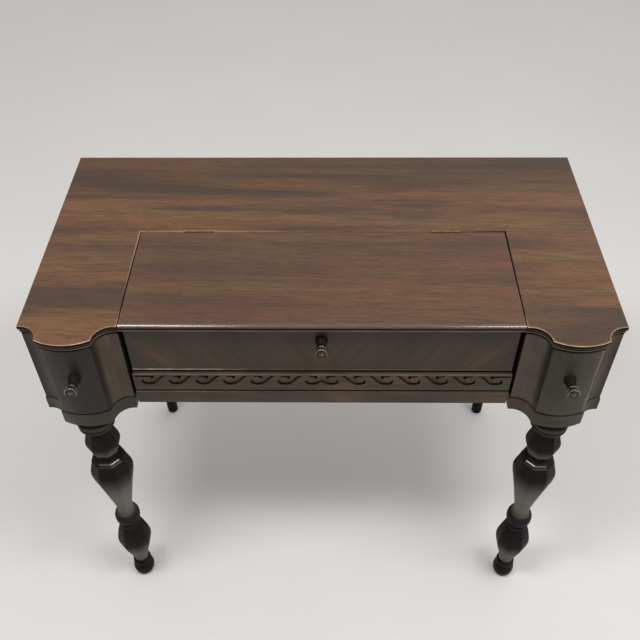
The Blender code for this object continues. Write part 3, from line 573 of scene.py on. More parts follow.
NOSE_VENEER = top_veneer("lid_nose_veneer", *LID_FIGURE, POLISHED_NOSE)
CASE_UPRIGHT = case_veneer("case_veneer_upright", UPRIGHT, 1.0)
CASE_LEVEL = case_veneer("case_veneer_level", LEVEL, 1.0)
CASE_COVE = case_veneer("case_veneer_cove", UPRIGHT, 1.4)
RAIL_VENEER = case_veneer("rail_veneer", LEVEL, 1.55)
# A much lighter copy of the case veneer for the floors of the carving, as painted light against the shade in
# the hollows
CARVED_GROUND_LIT = case_veneer("carved_ground_painted_light", LEVEL, 2.9)
CASE_INSIDE = case_veneer("case_veneer_inside", DEPTHWISE, 0.5)
FLAP_VENEER = flap_veneer()
# The pale colour of the leg wood is the colour of the painted reflection on the legs
LEG_WOOD = turned_wood("leg_wood", (0.195, 0.168, 0.149), SATIN_LEG)
LEDGE_WOOD = turned_wood("leg_ledge_wood", (0.175, 0.155, 0.140), POLISHED_LEDGE)
KNOB_WOOD = turned_wood("knob_wood", (0.150, 0.105, 0.062), POLISHED_KNOB)
LINING_LEVEL = drawer_wood("drawer_wood_level", LEVEL)
LINING_DEPTHWISE = drawer_wood("drawer_wood_depthwise", DEPTHWISE)
GLAZE_AND_SHADE = dark_glaze_and_shade()
BRASS = aged_brass()


# Shapes

def only_verts(geometry):
    return [part for part in geometry if isinstance(part, bmesh.types.BMVert)]


def line_to(x, y):
    return (x, y), ()


def arc_about(x, y, turn, steps):
    return (x, y), (turn, steps)


def draw_plan(shape, plan, height):
    """Draws a closed plan at a height and returns its edges: a start point, then lines and arcs."""
    before = set(shape.edges)
    start, moves = plan
    first = tip = bmesh.ops.create_vert(shape, co=(*start, height))["vert"][0]
    for point, bend in moves:
        if bend:
            turn, steps = bend
            spun = bmesh.ops.spin(
                shape, geom=[tip], cent=(*point, height), axis=(0, 0, 1), angle=turn, steps=steps
            )
            tip = only_verts(spun["geom_last"])[0]
        else:
            tip = bmesh.ops.extrude_vert_indiv(shape, verts=[tip])["verts"][0]
            tip.co = (*point, height)
    shape.edges.new((tip, first))
    return [edge for edge in shape.edges if edge not in before]


def new_shape():
    shape = bmesh.new()
    shape.verts.layers.float.new("wear_and_painted_light")
    return shape


def wear_and_light_layer(shape):
    return shape.verts.layers.float["wear_and_painted_light"]


def skinned(levels, wear_and_light_of):
    """A solid skinned over (plan, height, *wear and painted light values) levels, closed at both ends."""
    shape = new_shape()
    layer = wear_and_light_layer(shape)
    loops = []
    for plan, height, *wear_and_light_values in levels:
        loop = draw_plan(shape, plan, height)
        for vert in {vert for edge in loop for vert in edge.verts}:
            vert[layer] = wear_and_light_of(vert.co, *wear_and_light_values)
        loops.append(loop)
    for lower, upper in zip(loops, loops[1:]):
        bmesh.ops.bridge_loops(shape, edges=lower + upper)
    for rim in (loops[0], loops[-1]):
        bmesh.ops.edgeloop_fill(shape, edges=rim)
    return shape


def mirror_half(shape):
    """Opens the middle of a right-hand half and mirrors it to the left."""
    middle = [face for face in shape.faces if all(abs(v.co.x) < MERGE for v in face.verts)]
    bmesh.ops.delete(shape, geom=middle, context="FACES_ONLY")
    whole = shape.verts[:] + shape.edges[:] + shape.faces[:]
    bmesh.ops.mirror(shape, geom=whole, matrix=Matrix(), merge_dist=NEAR, axis="X")
    return shape


def put_left(shape):
    bmesh.ops.scale(shape, vec=(-1, 1, 1), verts=shape.verts)


def soft_board(low, high):
    """A board between two corners with eased edges."""
    shape = bmesh.new()
    bmesh.ops.create_cube(shape, size=1)
    place = Matrix.LocRotScale((low + high) / 2, None, high - low)
    bmesh.ops.transform(shape, matrix=place, verts=shape.verts)
    bmesh.ops.bevel(
        shape, geom=shape.edges[:], offset=BOARD_EASE, segments=2, profile=0.5, affect="EDGES", material=-1
    )
    return shape


def drawn_out(outline, way):
    """A closed outline of points, drawn out along a vector."""
    shape = new_shape()
    face = shape.faces.new([shape.verts.new(point) for point in outline])
    pulled = bmesh.ops.extrude_face_region(shape, geom=[face])
    bmesh.ops.translate(shape, vec=way, verts=only_verts(pulled["geom"]))
    return shape


def flowing(points, steps):
    """A smooth open run through points."""
    knots = [Vector(point) for point in points]
    run = []
    for index in range(len(knots) - 1):
        start, end = knots[index], knots[index + 1]
        before = knots[max(index - 1, 0)]
        after = knots[min(index + 2, len(knots) - 1)]
        handles = start + (end - before) / 6, end - (after - start) / 6
        run += interpolate_bezier(start, *handles, end, steps + 1)[:-1]
    return run + [knots[-1]]


def spin_profile(shape, profile, steps, start_angle):
    """Spins (height, radius, wear and painted light) points about Z into an open tube."""
    layer = wear_and_light_layer(shape)
    ahead = Vector((math.cos(start_angle), math.sin(start_angle), 0))
    verts = []
    for height, radius, wear_and_painted_light in profile:
        vert = shape.verts.new(ahead * radius + Vector((0, 0, height)))
        vert[layer] = wear_and_painted_light
        verts.append(vert)
    edges = [shape.edges.new(pair) for pair in zip(verts, verts[1:])]
    bmesh.ops.spin(
        shape, geom=verts + edges, cent=(0, 0, 0), axis=(0, 0, 1), angle=math.tau, steps=steps, use_merge=True
    )


def spin_octagon(shape, profile):
    """Spins an eight-sided run, flats to +-X and +-Y, and softens its arrises."""
    before = set(shape.edges)
    corner = math.pi / 8
    points = [(height, width / math.cos(corner), wear_and_painted_light) for height, width, wear_and_painted_light in profile]
    spin_profile(shape, points, 8, corner)
    made = [edge for edge in shape.edges if edge not in before]
    arrises = [edge for edge in made if abs(edge.verts[0].co.z - edge.verts[1].co.z) > MERGE]
    bmesh.ops.bevel(
        shape, geom=arrises, offset=ARRIS_ROUND, segments=3, profile=0.5, affect="EDGES", material=-1
    )


def rim_edges(shape, height):
    return [e for e in shape.edges if e.is_boundary and all(abs(v.co.z - height) < NEAR for v in e.verts)]


def put_in_scene(name, data):
    thing = bpy.data.objects.new(name, data)
    bpy.context.scene.collection.objects.link(thing)
    return thing


def mesh_from(name, shape, materials):
    mesh = bpy.data.meshes.new(name)
    shape.to_mesh(mesh)
    shape.free()
    for material in materials:
        mesh.materials.append(material)
    return mesh


def make_piece(name, shape, body, materials, nodes, soft_angle=SOFT_ANGLE):
    """Turns a bmesh into a piece that rides on a body and stands for some nodes."""
    bmesh.ops.remove_doubles(shape, verts=shape.verts, dist=MERGE)
    bmesh.ops.recalc_face_normals(shape, faces=shape.faces)
    mesh = mesh_from(name, shape, materials)
    mesh.shade_smooth()
    mesh.set_sharp_from_angle(angle=math.radians(soft_angle))
    piece = put_in_scene(name, mesh)
    even = piece.modifiers.new("even_shading", "WEIGHTED_NORMAL")
    even.keep_sharp = True
    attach(piece, body)
    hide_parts(*nodes)
    return piece


# Top and lid

def cusp(inset):
    """Where the bow meets a cove, x from the pedestal's middle and y from the front line."""
    points = intersect_sphere_sphere_2d(BOW_CENTRE, BOW_RADIUS - inset, COVE_CENTRE, COVE_RADIUS + inset)
    return min(points, key=lambda point: point.x)


def cove_turn(inset):
    spoke = cusp(inset) - COVE_CENTRE
    return math.atan2(spoke.y, spoke.x) % math.tau - math.pi / 2


def shaped_front(inset):
    """Lines and arcs along the right pedestal's front, from its inner flat to its outer one."""
    bow_turn = 2 * math.asin(cusp(inset).x / (BOW_RADIUS - inset))
    cove_y = FRONT_Y + COVE_CENTRE.y
    inner_x, outer_x = PEDESTAL_X - COVE_CENTRE.x, PEDESTAL_X + COVE_CENTRE.x
    return [
        line_to(inner_x, FRONT_Y + inset),
        arc_about(inner_x, cove_y, -cove_turn(inset), COVE_STEPS),
        arc_about(PEDESTAL_X, FRONT_Y + BOW_CENTRE.y, bow_turn, BOW_STEPS),
        arc_about(outer_x, cove_y, -cove_turn(inset), COVE_STEPS),
    ]


def hinge_gain(low, high, deep_y, edge_y, margin):
    """A hinge leaf's gain in a board's edge, from left to right."""
    left, right = low.x - margin, high.x + margin
    return [line_to(left, edge_y), line_to(left, deep_y), line_to(right, deep_y), line_to(right, edge_y)]


def top_plan(inset, ease):
    """The right half of the fixed top: the lid's recess, the shaped front, the end and the back."""
    recess_x, recess_y = WING_LOW.x + ease, STRIP_LOW.y + ease
    end_x, back_y = WING_HIGH.x - inset, STRIP_HIGH.y - ease
    margin = LEAF_CLEARANCE + ease
    gain = hinge_gain(FIXED_LEAF_LOW, FIXED_LEAF_HIGH, FIXED_LEAF_HIGH.y + margin, recess_y, margin)
    recess = [line_to(recess_x, y) for y in (recess_y, FRONT_Y + JOINT_REACH, FRONT_Y + inset)]
    rest = [line_to(end_x, FRONT_Y + inset), line_to(end_x, back_y), line_to(0, back_y)]
    return (0, recess_y), gain + recess + shaped_front(inset) + rest


def top_wear_and_light(place, edge, joint):
    if place.y > STRIP_HIGH.y - EDGE_REACH:
        return min(edge, 0)
    beside_lid = place.x < WING_LOW.x + EDGE_REACH and place.y > FRONT_Y + 2 * EDGE_REACH
    return joint if beside_lid else edge


def lid_plan(inset, ease):
    """The right half of the lid, its back edge cut for the hinge."""
    end_x, back_y = LID_HIGH.x - ease, LID_HIGH.y - ease
    margin = LEAF_CLEARANCE + ease
    gain = hinge_gain(LID_LEAF_LOW, LID_LEAF_HIGH, LID_LEAF_LOW.y - margin, back_y, margin)
    end = [line_to(end_x, FRONT_Y + inset), line_to(end_x, back_y)]
    return (0, FRONT_Y + inset), end + gain[::-1] + [line_to(0, back_y)]


def lid_wear_and_light(place, edge, joint):
    return joint if place.y > FRONT_Y + 2 * EDGE_REACH else edge


def paint_seam_light(shape):
    """A painted highlight of bare-wood colour along the left of the hinge seam, a fainter one in its middle,
    and painted shade at its right end.
    """
    layer = wear_and_light_layer(shape)
    for vert in shape.verts:
        x, y, z = vert.co
        on_seam = abs(y - STRIP_LOW.y) < EDGE_REACH and abs(x) < WING_LOW.x + EDGE_REACH
        if on_seam and TOP_SURFACE - SEAM_DEPTH < z < TOP_SURFACE - NEAR:
            vert[layer] = SEAM_MIDDLE_SHEEN
            if x < SEAM_HIGHLIGHT_END:
                vert[layer] = SEAM_LEFT_HIGHLIGHT
            elif x > FIXED_LEAF_HIGH.x + EDGE_REACH:
                vert[layer] = SEAM_RIGHT_SHADE


def glaze_stain_and_shade(shape, index):
    """Gives the faces that are black all over, from real stain or painted shade, a dull finish of their own.
    """
    layer = wear_and_light_layer(shape)
    for face in shape.faces:
        if all(vert[layer] <= STAINED_OR_SHADED for vert in face.verts):
            face.material_index = index


def face_edge(shape):
    """Gives the edge under the arris and the bead under it the darker finish of the case, partly stain and
    partly painted shade.
    """
    for face in shape.faces:
        if face.material_index != SECOND and face.calc_center_median().z < TOP_SURFACE - STAINED_AND_SHADED_EDGE:
            face.material_index = THIRD


def rub_and_light_front(shape):
    """Keeps the pale arris, part wear and part painted highlight, to the bows, with less on the coves and the
    right end and none on the left end.
    """
    layer = wear_and_light_layer(shape)
    bow_end = cusp(0).x + 10 * NEAR
    for vert in shape.verts:
        x, y, _ = vert.co
        if vert[layer] <= 0 or abs(x) < WING_LOW.x + EDGE_REACH:
            continue
        if y > FRONT_Y + EDGE_REACH:
            vert[layer] *= RIGHT_END_RUB_AND_GLINT if x > 0 else 0
        elif abs(abs(x) - PEDESTAL_X) > bow_end:
            vert[layer] *= RIGHT_COVE_RUB_AND_GLINT if x > 0 else LEFT_COVE_RUB_AND_GLINT


def edged_board(edge, plan_of, wear_and_light_of):
    """A board of the top with a moulded edge, mirrored from its right half."""
    levels = []
    for inset, ease, drop, *wear_and_light_values in edge:
        levels.append((plan_of(inset, ease), TOP_SURFACE - drop, *wear_and_light_values))
    return mirror_half(skinned(levels, wear_and_light_of))


def make_top():
    shape = edged_board(TOP_EDGE, top_plan, top_wear_and_light)
    rub_and_light_front(shape)
    paint_seam_light(shape)
    glaze_stain_and_shade(shape, SECOND)
    face_edge(shape)
    nodes = ["top_rear_strip", "top_wing_left", "top_wing_right"]
    make_piece("fixed_top", shape, "carcass", [TOP_VENEER, GLAZE_AND_SHADE, RAIL_VENEER], nodes)


def make_lid():
    shape = edged_board(LID_EDGE, lid_plan, lid_wear_and_light)
    finishes = [LID_VENEER, NOSE_VENEER, GLAZE_AND_SHADE, RAIL_VENEER]
    for face in shape.faces:
        middle = face.calc_center_median()
        # Under the glossy nose the edge takes the darker finish of the case, partly stain and partly painted
        # shade
        if middle.y < FRONT_Y + NOSE_DEPTH:
            finish = NOSE_VENEER if middle.z > TOP_SURFACE - NOSE_DROP else RAIL_VENEER
            face.material_index = finishes.index(finish)
    glaze_stain_and_shade(shape, finishes.index(GLAZE_AND_SHADE))
    make_piece("folding_lid", shape, "lid", finishes, ["lid"])


# Pedestals

def stile_plan(extra, far_x, back_y):
    """A cove stile of the right pedestal, drawn on its outer side."""
    inset = CASE_INSET + extra
    meet = cusp(inset) + Vector((PEDESTAL_X, FRONT_Y))
    moves = [
        shaped_front(inset)[-1],
        line_to(far_x, FRONT_Y + inset),
        line_to(far_x, back_y),
        line_to(meet.x, back_y),
    ]
    return meet, moves


def stile_light_and_shade(place, wear_and_painted_light, flat_light_or_shade):
    """A painted highlight down the cusp, painted shade beside it, and a flat painted as light or dark as
    asked.
    """
    if wear_and_painted_light < 0 or place.y > FRONT_Y + EDGE_REACH:
        return wear_and_painted_light
    ahead = max(0, (place.y - FRONT_Y) / cusp(CASE_INSET).y)
    if ahead > CUSP_FROM:
        return CUSP_HIGHLIGHT
    return flat_light_or_shade + (COVE_SHADE - flat_light_or_shade) * min(1, max(0, ahead - SHADE_FROM) / SHADE_SPAN)


def chamfered(low_z, high_z):
    """(extra inset, height, wear and painted light) levels of an upright piece with cut edges at foot and
    head; the black rows at the foot and at the head are painted shade, in the groove over the plinth and
    under the top.
    """
    return (
        (CASE_CHAMFER, low_z, -1.0),
        (0.0, low_z + CASE_CHAMFER, -1.0),
        (0.0, low_z + 2 * CASE_CHAMFER, 0.0),
        (0.0, high_z - HEAD_SHADOW, 0.0),
        (0.0, high_z - HEAD_SHADOW / 2, -1.0),
        (0.0, high_z - CASE_CHAMFER / 2, -1.0),
        (CASE_CHAMFER / 2, high_z, -1.0),
    )


def make_stile(label, side, place, low, high):
    far = high.x if place == "outer" else 2 * PEDESTAL_X - low.x
    cuts = chamfered(low.z, high.z)
    flat_shading = FLAT_LIGHT_AND_SHADE[f"{label}_{place}"]
    levels = [(stile_plan(extra, far, high.y), height, wear_and_painted_light, flat_shading) for extra, height, wear_and_painted_light in cuts]
    shape = skinned(levels, stile_light_and_shade)
    glaze_stain_and_shade(shape, SECOND)
    if place == "inner":
        # The side face towards the kneehole is painted black, as shade
        for face in shape.faces:
            if abs(face.calc_center_median().x - far) < NEAR:
                face.material_index = SECOND
        put_left(shape)
        bmesh.ops.translate(shape, vec=(2 * PEDESTAL_X, 0, 0), verts=shape.verts)
    if side < 0:
        put_left(shape)
    node = f"{label}_{place}_stile"
    make_piece(f"{node}_cove", shape, "carcass", [CASE_COVE, GLAZE_AND_SHADE], [node])


def plinth_plan(extra):
    inset = PLINTH_INSET + extra
    inner_x, outer_x = PLINTH_LOW.x + extra, PLINTH_HIGH.x - extra
    rest = [
        line_to(outer_x, FRONT_Y + inset),
        line_to(outer_x, PLINTH_HIGH.y),
        line_to(inner_x, PLINTH_HIGH.y),
    ]
    return (inner_x, FRONT_Y + inset), shaped_front(inset) + rest


def make_plinth(label, side):
    # The black top edge is painted shade in the groove under the case
    cuts = (
        (PLINTH_FOOT_EASE, PLINTH_LOW.z, 0.0),
        (0.0, PLINTH_LOW.z + PLINTH_FOOT_EASE, 0.15),
        (0.0, PLINTH_LOW.z + 3 * PLINTH_FOOT_EASE, 0.0),
        (0.0, PLINTH_HIGH.z - 3 * CASE_CHAMFER, 0.0),
        (0.0, PLINTH_HIGH.z - 1.5 * CASE_CHAMFER, 0.1),
        (0.4 * CASE_CHAMFER, PLINTH_HIGH.z - 0.5 * CASE_CHAMFER, -0.3),
        (1.5 * CASE_CHAMFER, PLINTH_HIGH.z, -1.0),
    )
    levels = [(plinth_plan(extra), height, wear_and_painted_light) for extra, height, wear_and_painted_light in cuts]
    shape = skinned(levels, lambda place, wear_and_painted_light: wear_and_painted_light)
    if side < 0:
        put_left(shape)
    make_piece(f"{label}_plinth_block", shape, "carcass", [CASE_LEVEL], [f"{label}_plinth"])


def drawer_front_plan(extra):
    """A bow front between the stiles."""
    radius = BOW_RADIUS - CASE_INSET - extra
    half = (DRAWER_HIGH.x - DRAWER_LOW.x) / 2
    reach = math.asin(half / radius)
    bow_y = FRONT_Y + BOW_CENTRE.y
    start = (PEDESTAL_X - half, bow_y - radius * math.cos(reach))
    moves = [
        arc_about(PEDESTAL_X, bow_y, 2 * reach, BOW_STEPS),
        line_to(PEDESTAL_X + half, DRAWER_HIGH.y),
        line_to(PEDESTAL_X - half, DRAWER_HIGH.y),
    ]
    return start, moves


def drawer_light_and_shade(place, wear_and_painted_light, bow_light_or_shade, end_highlight):
    """A bow painted as light or dark as asked, as painted light and shade, with a painted highlight streak at
    its outer end.
    """
    if wear_and_painted_light < 0 or place.y > DRAWER_HIGH.y - EDGE_REACH:
        return wear_and_painted_light
    return end_highlight if place.x > DRAWER_HIGH.x - EDGE_REACH else bow_light_or_shade


def make_drawer_front(label, side):
    cuts = chamfered(DRAWER_LOW.z, DRAWER_HIGH.z)
    looks = BOW_LIGHT_AND_SHADE[label], BOW_END_HIGHLIGHT[label]
    levels = [(drawer_front_plan(extra), height, wear_and_painted_light, *looks) for extra, height, wear_and_painted_light in cuts]
    shape = skinned(levels, drawer_light_and_shade)
    glaze_stain_and_shade(shape, SECOND)
    for face in shape.faces:
        if abs(face.calc_center_median().x - PEDESTAL_X) > DRAWER_HIGH.x - PEDESTAL_X - NEAR:
            face.material_index = SECOND
    if side < 0:
        put_left(shape)
    node = f"{label}_drawer_front"
    make_piece(f"{node}_bow", shape, f"{label}_drawer", [CASE_UPRIGHT, GLAZE_AND_SHADE], [node])


# Turned pieces

def leg_sheen(drop):
    for (start, first), (end, second) in zip(LEG_SHEEN, LEG_SHEEN[1:]):
        if start <= drop <= end:
            return first + (second - first) * (drop - start) / (end - start)
    return 0.0


def spin_leg(runs):
    """A closed leg from round and eight-sided runs of (height, half width, wear and painted light)."""
    shape = new_shape()
    for section, profile in runs:
        if section == OCTAGON:
            spin_octagon(shape, profile)
        else:
            spin_profile(shape, profile, TURNING_STEPS, 0.0)
    ends = [(profile[0][0], profile[-1][0]) for _, profile in runs]
    for (_, above), (below, _) in zip(ends, ends[1:]):
        bmesh.ops.bridge_loops(shape, edges=rim_edges(shape, above) + rim_edges(shape, below))
    for height in (ends[0][0], ends[-1][1]):
        bmesh.ops.edgeloop_fill(shape, edges=rim_edges(shape, height))
    return shape


def polish_ledges(shape, side):
    """Polishes the front facets of the ledges, apart from those turned outwards."""
    bmesh.ops.recalc_face_normals(shape, faces=shape.faces)
    for face in shape.faces:
        drop = PLINTH_LOW.z - face.calc_center_median().z
        lit = face.normal.y < -LEDGE_TILT and face.normal.x * side < LEDGE_TILT
        if lit and any(start < drop < end for start, end in LEDGES):
            face.material_index = SECOND


def stand_leg(node, middle, shape, materials, soft_angle):
    bmesh.ops.translate(shape, vec=(middle.x, middle.y, 0), verts=shape.verts)
    make_piece(f"{node}_turning", shape, "carcass", materials, [node], soft_angle)


def make_front_leg(label, side):
    low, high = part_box(f"front_leg_{label}")
    runs = []
    for section, run in FRONT_LEG:
        profile = [(PLINTH_LOW.z - drop, width, leg_sheen(drop)) for drop, width in run]
        runs.append((section, profile))
    shape = spin_leg(runs)
    polish_ledges(shape, side)
    stand_leg(f"front_leg_{label}", (low + high) / 2, shape, [LEG_WOOD, LEDGE_WOOD], LEG_SOFT_ANGLE)


def make_rear_leg(label):
    low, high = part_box(f"rear_leg_{label}")
    top = PLINTH_LOW.z - LEAF_CLEARANCE
    head = [(top, REAR_LEG_HEAD - REAR_HEAD_EASE, 0.0), (top - REAR_HEAD_DROP, REAR_LEG_HEAD, 0.0)]
    foot = [(height, REAR_LEG_FOOT - ease, 0.0) for height, ease in REAR_FOOT_EASE]
    shape = spin_leg([(ROUND, head + foot)])
    stand_leg(f"rear_leg_{label}", (low + high) / 2, shape, [LEG_WOOD], SOFT_ANGLE)


def make_knob(node, body, size):
    """A turned knob that faces the front, scaled from the large one."""
    low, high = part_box(node)
    seat = Vector(((low.x + high.x) / 2, low.y + KNOB[-1][0] * size, (low.z + high.z) / 2))
    shape = new_shape()
    profile = [(0.0, 0.0, -1.0)] + [(along * size, radius * size, wear_and_painted_light) for along, radius, wear_and_painted_light in KNOB]
    spin_profile(shape, profile, TURNING_STEPS, 0.0)
    glaze_stain_and_shade(shape, SECOND)
    place = Matrix.Translation(seat) @ Matrix.Rotation(math.radians(90), 4, "X")
    bmesh.ops.transform(shape, matrix=place, verts=shape.verts)
    make_piece(f"{node}_turning", shape, body, [KNOB_WOOD, GLAZE_AND_SHADE], [node], KNOB_SOFT_ANGLE)


# Flap and carved rail

def along_x(profile, low_x, high_x):
    """A moulding whose (y, z, wear and painted light) profile runs between two x places."""
    shape = drawn_out([(low_x, y, z) for y, z, _ in profile], (high_x - low_x, 0, 0))
    layer = wear_and_light_layer(shape)
    for vert in shape.verts:
        nearest = min(profile, key=lambda point: (point[0] - vert.co.y) ** 2 + (point[1] - vert.co.z) ** 2)
        vert[layer] = nearest[2]
    return shape


def pale_left(shape, limit):
    """Keeps the pale rows of a moulding, part bare wood and part painted highlight, to its left end, below a
    height.
    """
    for x in PALE_FADE_FROM:
        whole = shape.verts[:] + shape.edges[:] + shape.faces[:]
        bmesh.ops.bisect_plane(shape, geom=whole, dist=MERGE, plane_co=(x, 0, 0), plane_no=(1, 0, 0))
    layer = wear_and_light_layer(shape)
    for vert in shape.verts:
        if vert.co.x > PALE_FADE_FROM[0] + EDGE_REACH and vert.co.z < limit and vert[layer] > 0:
            vert[layer] *= PALE_RIGHT


def moulding(face, height, rows):
    """(y, z, wear) points of a moulding about a height."""
    return [(face + inset, height + rise, wear_and_painted_light) for inset, rise, wear_and_painted_light in rows]


def make_flap():
    """A plain board with a thin bead along its foot, rubbed most at the left."""
    face, back, foot, head = FLAP_LOW.y, FLAP_HIGH.y, FLAP_LOW.z - FLAP_FOOT_DROP, FLAP_HIGH.z
    front = moulding(face, foot, FLAP_BEAD) + moulding(face, head, FLAP_HEAD)
    shape = along_x(front + [(back, head, 0.0), (back, foot, 0.0)], FLAP_LOW.x, FLAP_HIGH.x)
    pale_left(shape, head)
    make_piece("flap_front", shape, "flap", [FLAP_VENEER], ["flap"])


def put_at(start_x, foot, points):
    return [(start_x + x, foot + z) for x, z in points]


def wave_outline(start_x, foot, middle):
    """The hollow of one wave, or of the two that meet in the middle, as (x, z) points."""
    run = flowing(WAVE_CURL + (MIDDLE_PEAK if middle else WAVE_BACK), WAVE_STEPS)
    outline = put_at(start_x, foot, run)
    if middle:
        outline += [(-x, z) for x, z in outline[-2::-1]]
    return outline


def both_ways(outline):
    return [outline, [(-x, z) for x, z in outline]]


def carving_outlines(foot):
    """(outline, depth, all dark) of every hollow and quirk along the rail."""
    hollows = []
    for index in range(WAVES_A_SIDE):
        start = FIRST_WAVE_X + index * WAVE_PITCH
        last = index == WAVES_A_SIDE - 1
        wave = wave_outline(start, foot, last)
        hollows += [(outline, CARVING_DEPTH, False) for outline in ([wave] if last else both_ways(wave))]
        quirk = put_at(start, foot, flowing(CURL_QUIRK + CURL_QUIRK[:1], QUIRK_STEPS)[:-1])
        hollows += [(outline, CURL_DEPTH, True) for outline in both_ways(quirk)]
    lead = put_at(FIRST_WAVE_X, foot, LEAD_LINE)
    return hollows + [(outline, CURL_DEPTH, True) for outline in both_ways(lead)]


def wave_cutter(foot, face):
    """All the hollows of the carving as one cutting mesh, walls glazed black, partly as painted shade, and
    broad floors given a lighter copy of the case veneer as painted light against their shade.
    """
    cutter = bpy.data.meshes.new("wave_cutter")
    shape = bmesh.new()
    for outline, depth, dark in carving_outlines(foot):
        hollow = drawn_out([(x, face - depth, z) for x, z in outline], (0, 2 * depth, 0))
        bmesh.ops.recalc_face_normals(hollow, faces=hollow.faces)
        for wall in hollow.faces:
            wall.material_index = SECOND if dark or abs(wall.normal.y) < FACING else THIRD
        hollow.to_mesh(cutter)
        hollow.free()
        shape.from_mesh(cutter)
    shape.to_mesh(cutter)
    shape.free()
    return cutter


def make_carved_rail():
    """The drawer-like front of the writing bed: lip, carved band, groove and plain foot."""
    face, back = RAIL_LOW.y, RAIL_HIGH.y
    foot, head = RAIL_LOW.z - RAIL_FOOT_DROP, RAIL_HIGH.z - RAIL_LIP_DROP
    groove, band_foot = RAIL_LOW.z + RAIL_GROOVE_RISE, RAIL_LOW.z + BAND_FOOT_RISE
    front = moulding(face, foot, RAIL_FOOT) + moulding(face, groove, RAIL_GROOVE)
    front += moulding(face, band_foot + BAND_HEIGHT, BAND_LINE) + moulding(face, head, RAIL_LIP)
    shape = along_x(front + [(back, head, RAIL_HEAD_SHADE), (back, foot, 0.0)], RAIL_LOW.x, RAIL_HIGH.x)
    pale_left(shape, head - EDGE_REACH)
    shape.normal_update()
    # The walls of the groove take the black finish, partly glaze and partly painted shade
    for side in shape.faces:
        if abs(side.calc_center_median().z - groove) < RAIL_GROOVE_REACH and abs(side.normal.x) < FACING:
            side.material_index = SECOND
    finishes = [RAIL_VENEER, GLAZE_AND_SHADE, CARVED_GROUND_LIT]
    rail = make_piece("carved_front_rail", shape, "writing_bed", finishes, ["carved_rail"])
    cut_carving(rail, wave_cutter(band_foot, face))


def cut_carving(rail, hollows):
    """Cuts the hollows into the rail's face and keeps the cut mesh as the rail's own."""
    for material in rail.data.materials:
        hollows.materials.append(material)
    cutter = put_in_scene("wave_cutter", hollows)
    rail.modifiers.remove(rail.modifiers["even_shading"])
    cut = rail.modifiers.new("carving", "BOOLEAN")
    cut.operation = "DIFFERENCE"
    cut.solver = "EXACT"
    cut.use_self = True
    cut.object = cutter
    carved = bpy.data.meshes.new_from_object(rail.evaluated_get(bpy.context.evaluated_depsgraph_get()))
    rail.modifiers.remove(cut)
    rail.data = carved
    carved.name = "carved_front_rail"
    carved.set_sharp_from_angle(angle=math.radians(SOFT_ANGLE))
    bpy.data.objects.remove(cutter)
    bpy.data.meshes.remove(hollows)


# Plain boards

def make_boards(body, material, nodes):
    for node in nodes:
        make_piece(f"{node}_board", soft_board(*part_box(node)), body, [material], [node])


def make_case_boards():
    labels = [label for label, _ in SIDES]
    dividers = [f"gallery_divider_{label}_{place}" for label in labels for place in ("inner", "outer")]
    inside = [f"{label}_inner_side" for label in labels] + dividers + ["gallery_floor", "gallery_shelf"]
    make_boards("carcass", CASE_UPRIGHT, [f"{label}_outer_side" for label in labels])
    make_boards("carcass", CASE_INSIDE, inside)
    make_boards("carcass", CASE_LEVEL, ["back_panel"])
    # The lid rests, seen in the dark slots beside the flap, are painted black as shade
    make_boards("carcass", GLAZE_AND_SHADE, [f"lid_rest_{label}" for label in labels])
    make_boards("carcass", LINING_DEPTHWISE, [f"bed_runner_{label}" for label in labels])
    make_boards("carcass", LINING_LEVEL, ["tie_rail"])
    make_boards("writing_bed", CASE_LEVEL, ["writing_bed"])


def make_drawer_boxes():
    for drawer in ("left_drawer", "right_drawer", "inner_drawer"):
        walls = [f"{drawer}_left_side", f"{drawer}_right_side", f"{drawer}_bottom"]
        make_boards(drawer, LINING_DEPTHWISE, walls)
        make_boards(drawer, LINING_LEVEL, [f"{drawer}_back"])
    make_boards("inner_drawer", CASE_LEVEL, ["inner_drawer_front"])


def finish_hinges():
    leaves = [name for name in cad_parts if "_hinge_" in name]
    for name in leaves:
        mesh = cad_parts[name].data
        mesh.materials.clear()
        mesh.materials.append(BRASS)


# Stage

def add_floor():
    shape = bmesh.new()
    bmesh.ops.create_grid(shape, x_segments=1, y_segments=1, size=FLOOR_REACH)
    floor = put_in_scene("floor", mesh_from("floor", shape, [pale_floor()]))


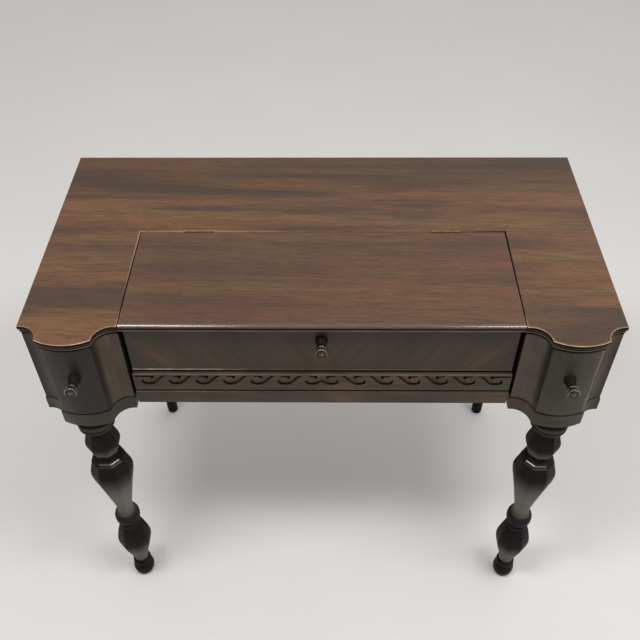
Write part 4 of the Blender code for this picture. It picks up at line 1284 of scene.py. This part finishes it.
def add_softbox(name, place, target, size, watts):
    lamp = bpy.data.lights.new(name, "AREA")
    lamp.shape = "RECTANGLE"
    lamp.size, lamp.size_y = size
    lamp.energy = watts
    box = put_in_scene(name, lamp)
    box.location = place
    box.rotation_euler = (Vector(target) - Vector(place)).to_track_quat("-Z", "Y").to_euler()


def add_studio():
    """A pale room, brighter overhead, behind the desk and to its right."""
    world = bpy.data.worlds.new("studio")
    world.use_nodes = True
    tree = world.node_tree
    direction = add_node(tree, "TexCoord", {}).outputs["Generated"]
    apart = add_node(tree, "SeparateXYZ", {"Vector": direction})
    overhead, behind, right = (spread(tree, apart.outputs[axis], *limits) for axis, *limits in ROOM_GLOW)
    strength = math_node(tree, "ADD", math_node(tree, "ADD", overhead, behind), right)
    strength = math_node(tree, "MULTIPLY", strength, spread(tree, apart.outputs["X"], *ROOM_LEFT))
    set_inputs(tree, tree.nodes["Background"], {"Color": ROOM_COLOUR, "Strength": strength})
    bpy.context.scene.world = world
    for name, *settings in SOFTBOXES:
        add_softbox(name, *settings)


def add_camera():
    camera = put_in_scene("camera", bpy.data.cameras.new("camera"))
    camera.data.lens = LENS
    place = Matrix.Translation(CAMERA_PLACE + Vector((0, FRONT_Y, 0)))
    for axis, angle in CAMERA_TURNS:
        place = place @ Matrix.Rotation(math.radians(angle), 4, axis)
    camera.matrix_world = place
    bpy.context.scene.camera = camera


def make_desk():
    make_top()
    make_lid()
    for label, side in SIDES:
        make_stile(label, side, "outer", OUTER_STILE_LOW, OUTER_STILE_HIGH)
        make_stile(label, side, "inner", INNER_STILE_LOW, INNER_STILE_HIGH)
        make_plinth(label, side)
        make_drawer_front(label, side)
        make_front_leg(label, side)
        make_rear_leg(label)
        make_knob(f"{label}_drawer_knob", f"{label}_drawer", 1.0)
    make_flap()
    make_knob("flap_knob", "flap", 1.0)
    make_knob("inner_drawer_knob", "inner_drawer", SMALL_KNOB_SIZE)
    make_carved_rail()
    make_case_boards()
    make_drawer_boxes()
    finish_hinges()


add_camera()
make_desk()
add_floor()
add_studio()
bpy.context.scene.view_settings.view_transform = "Standard"
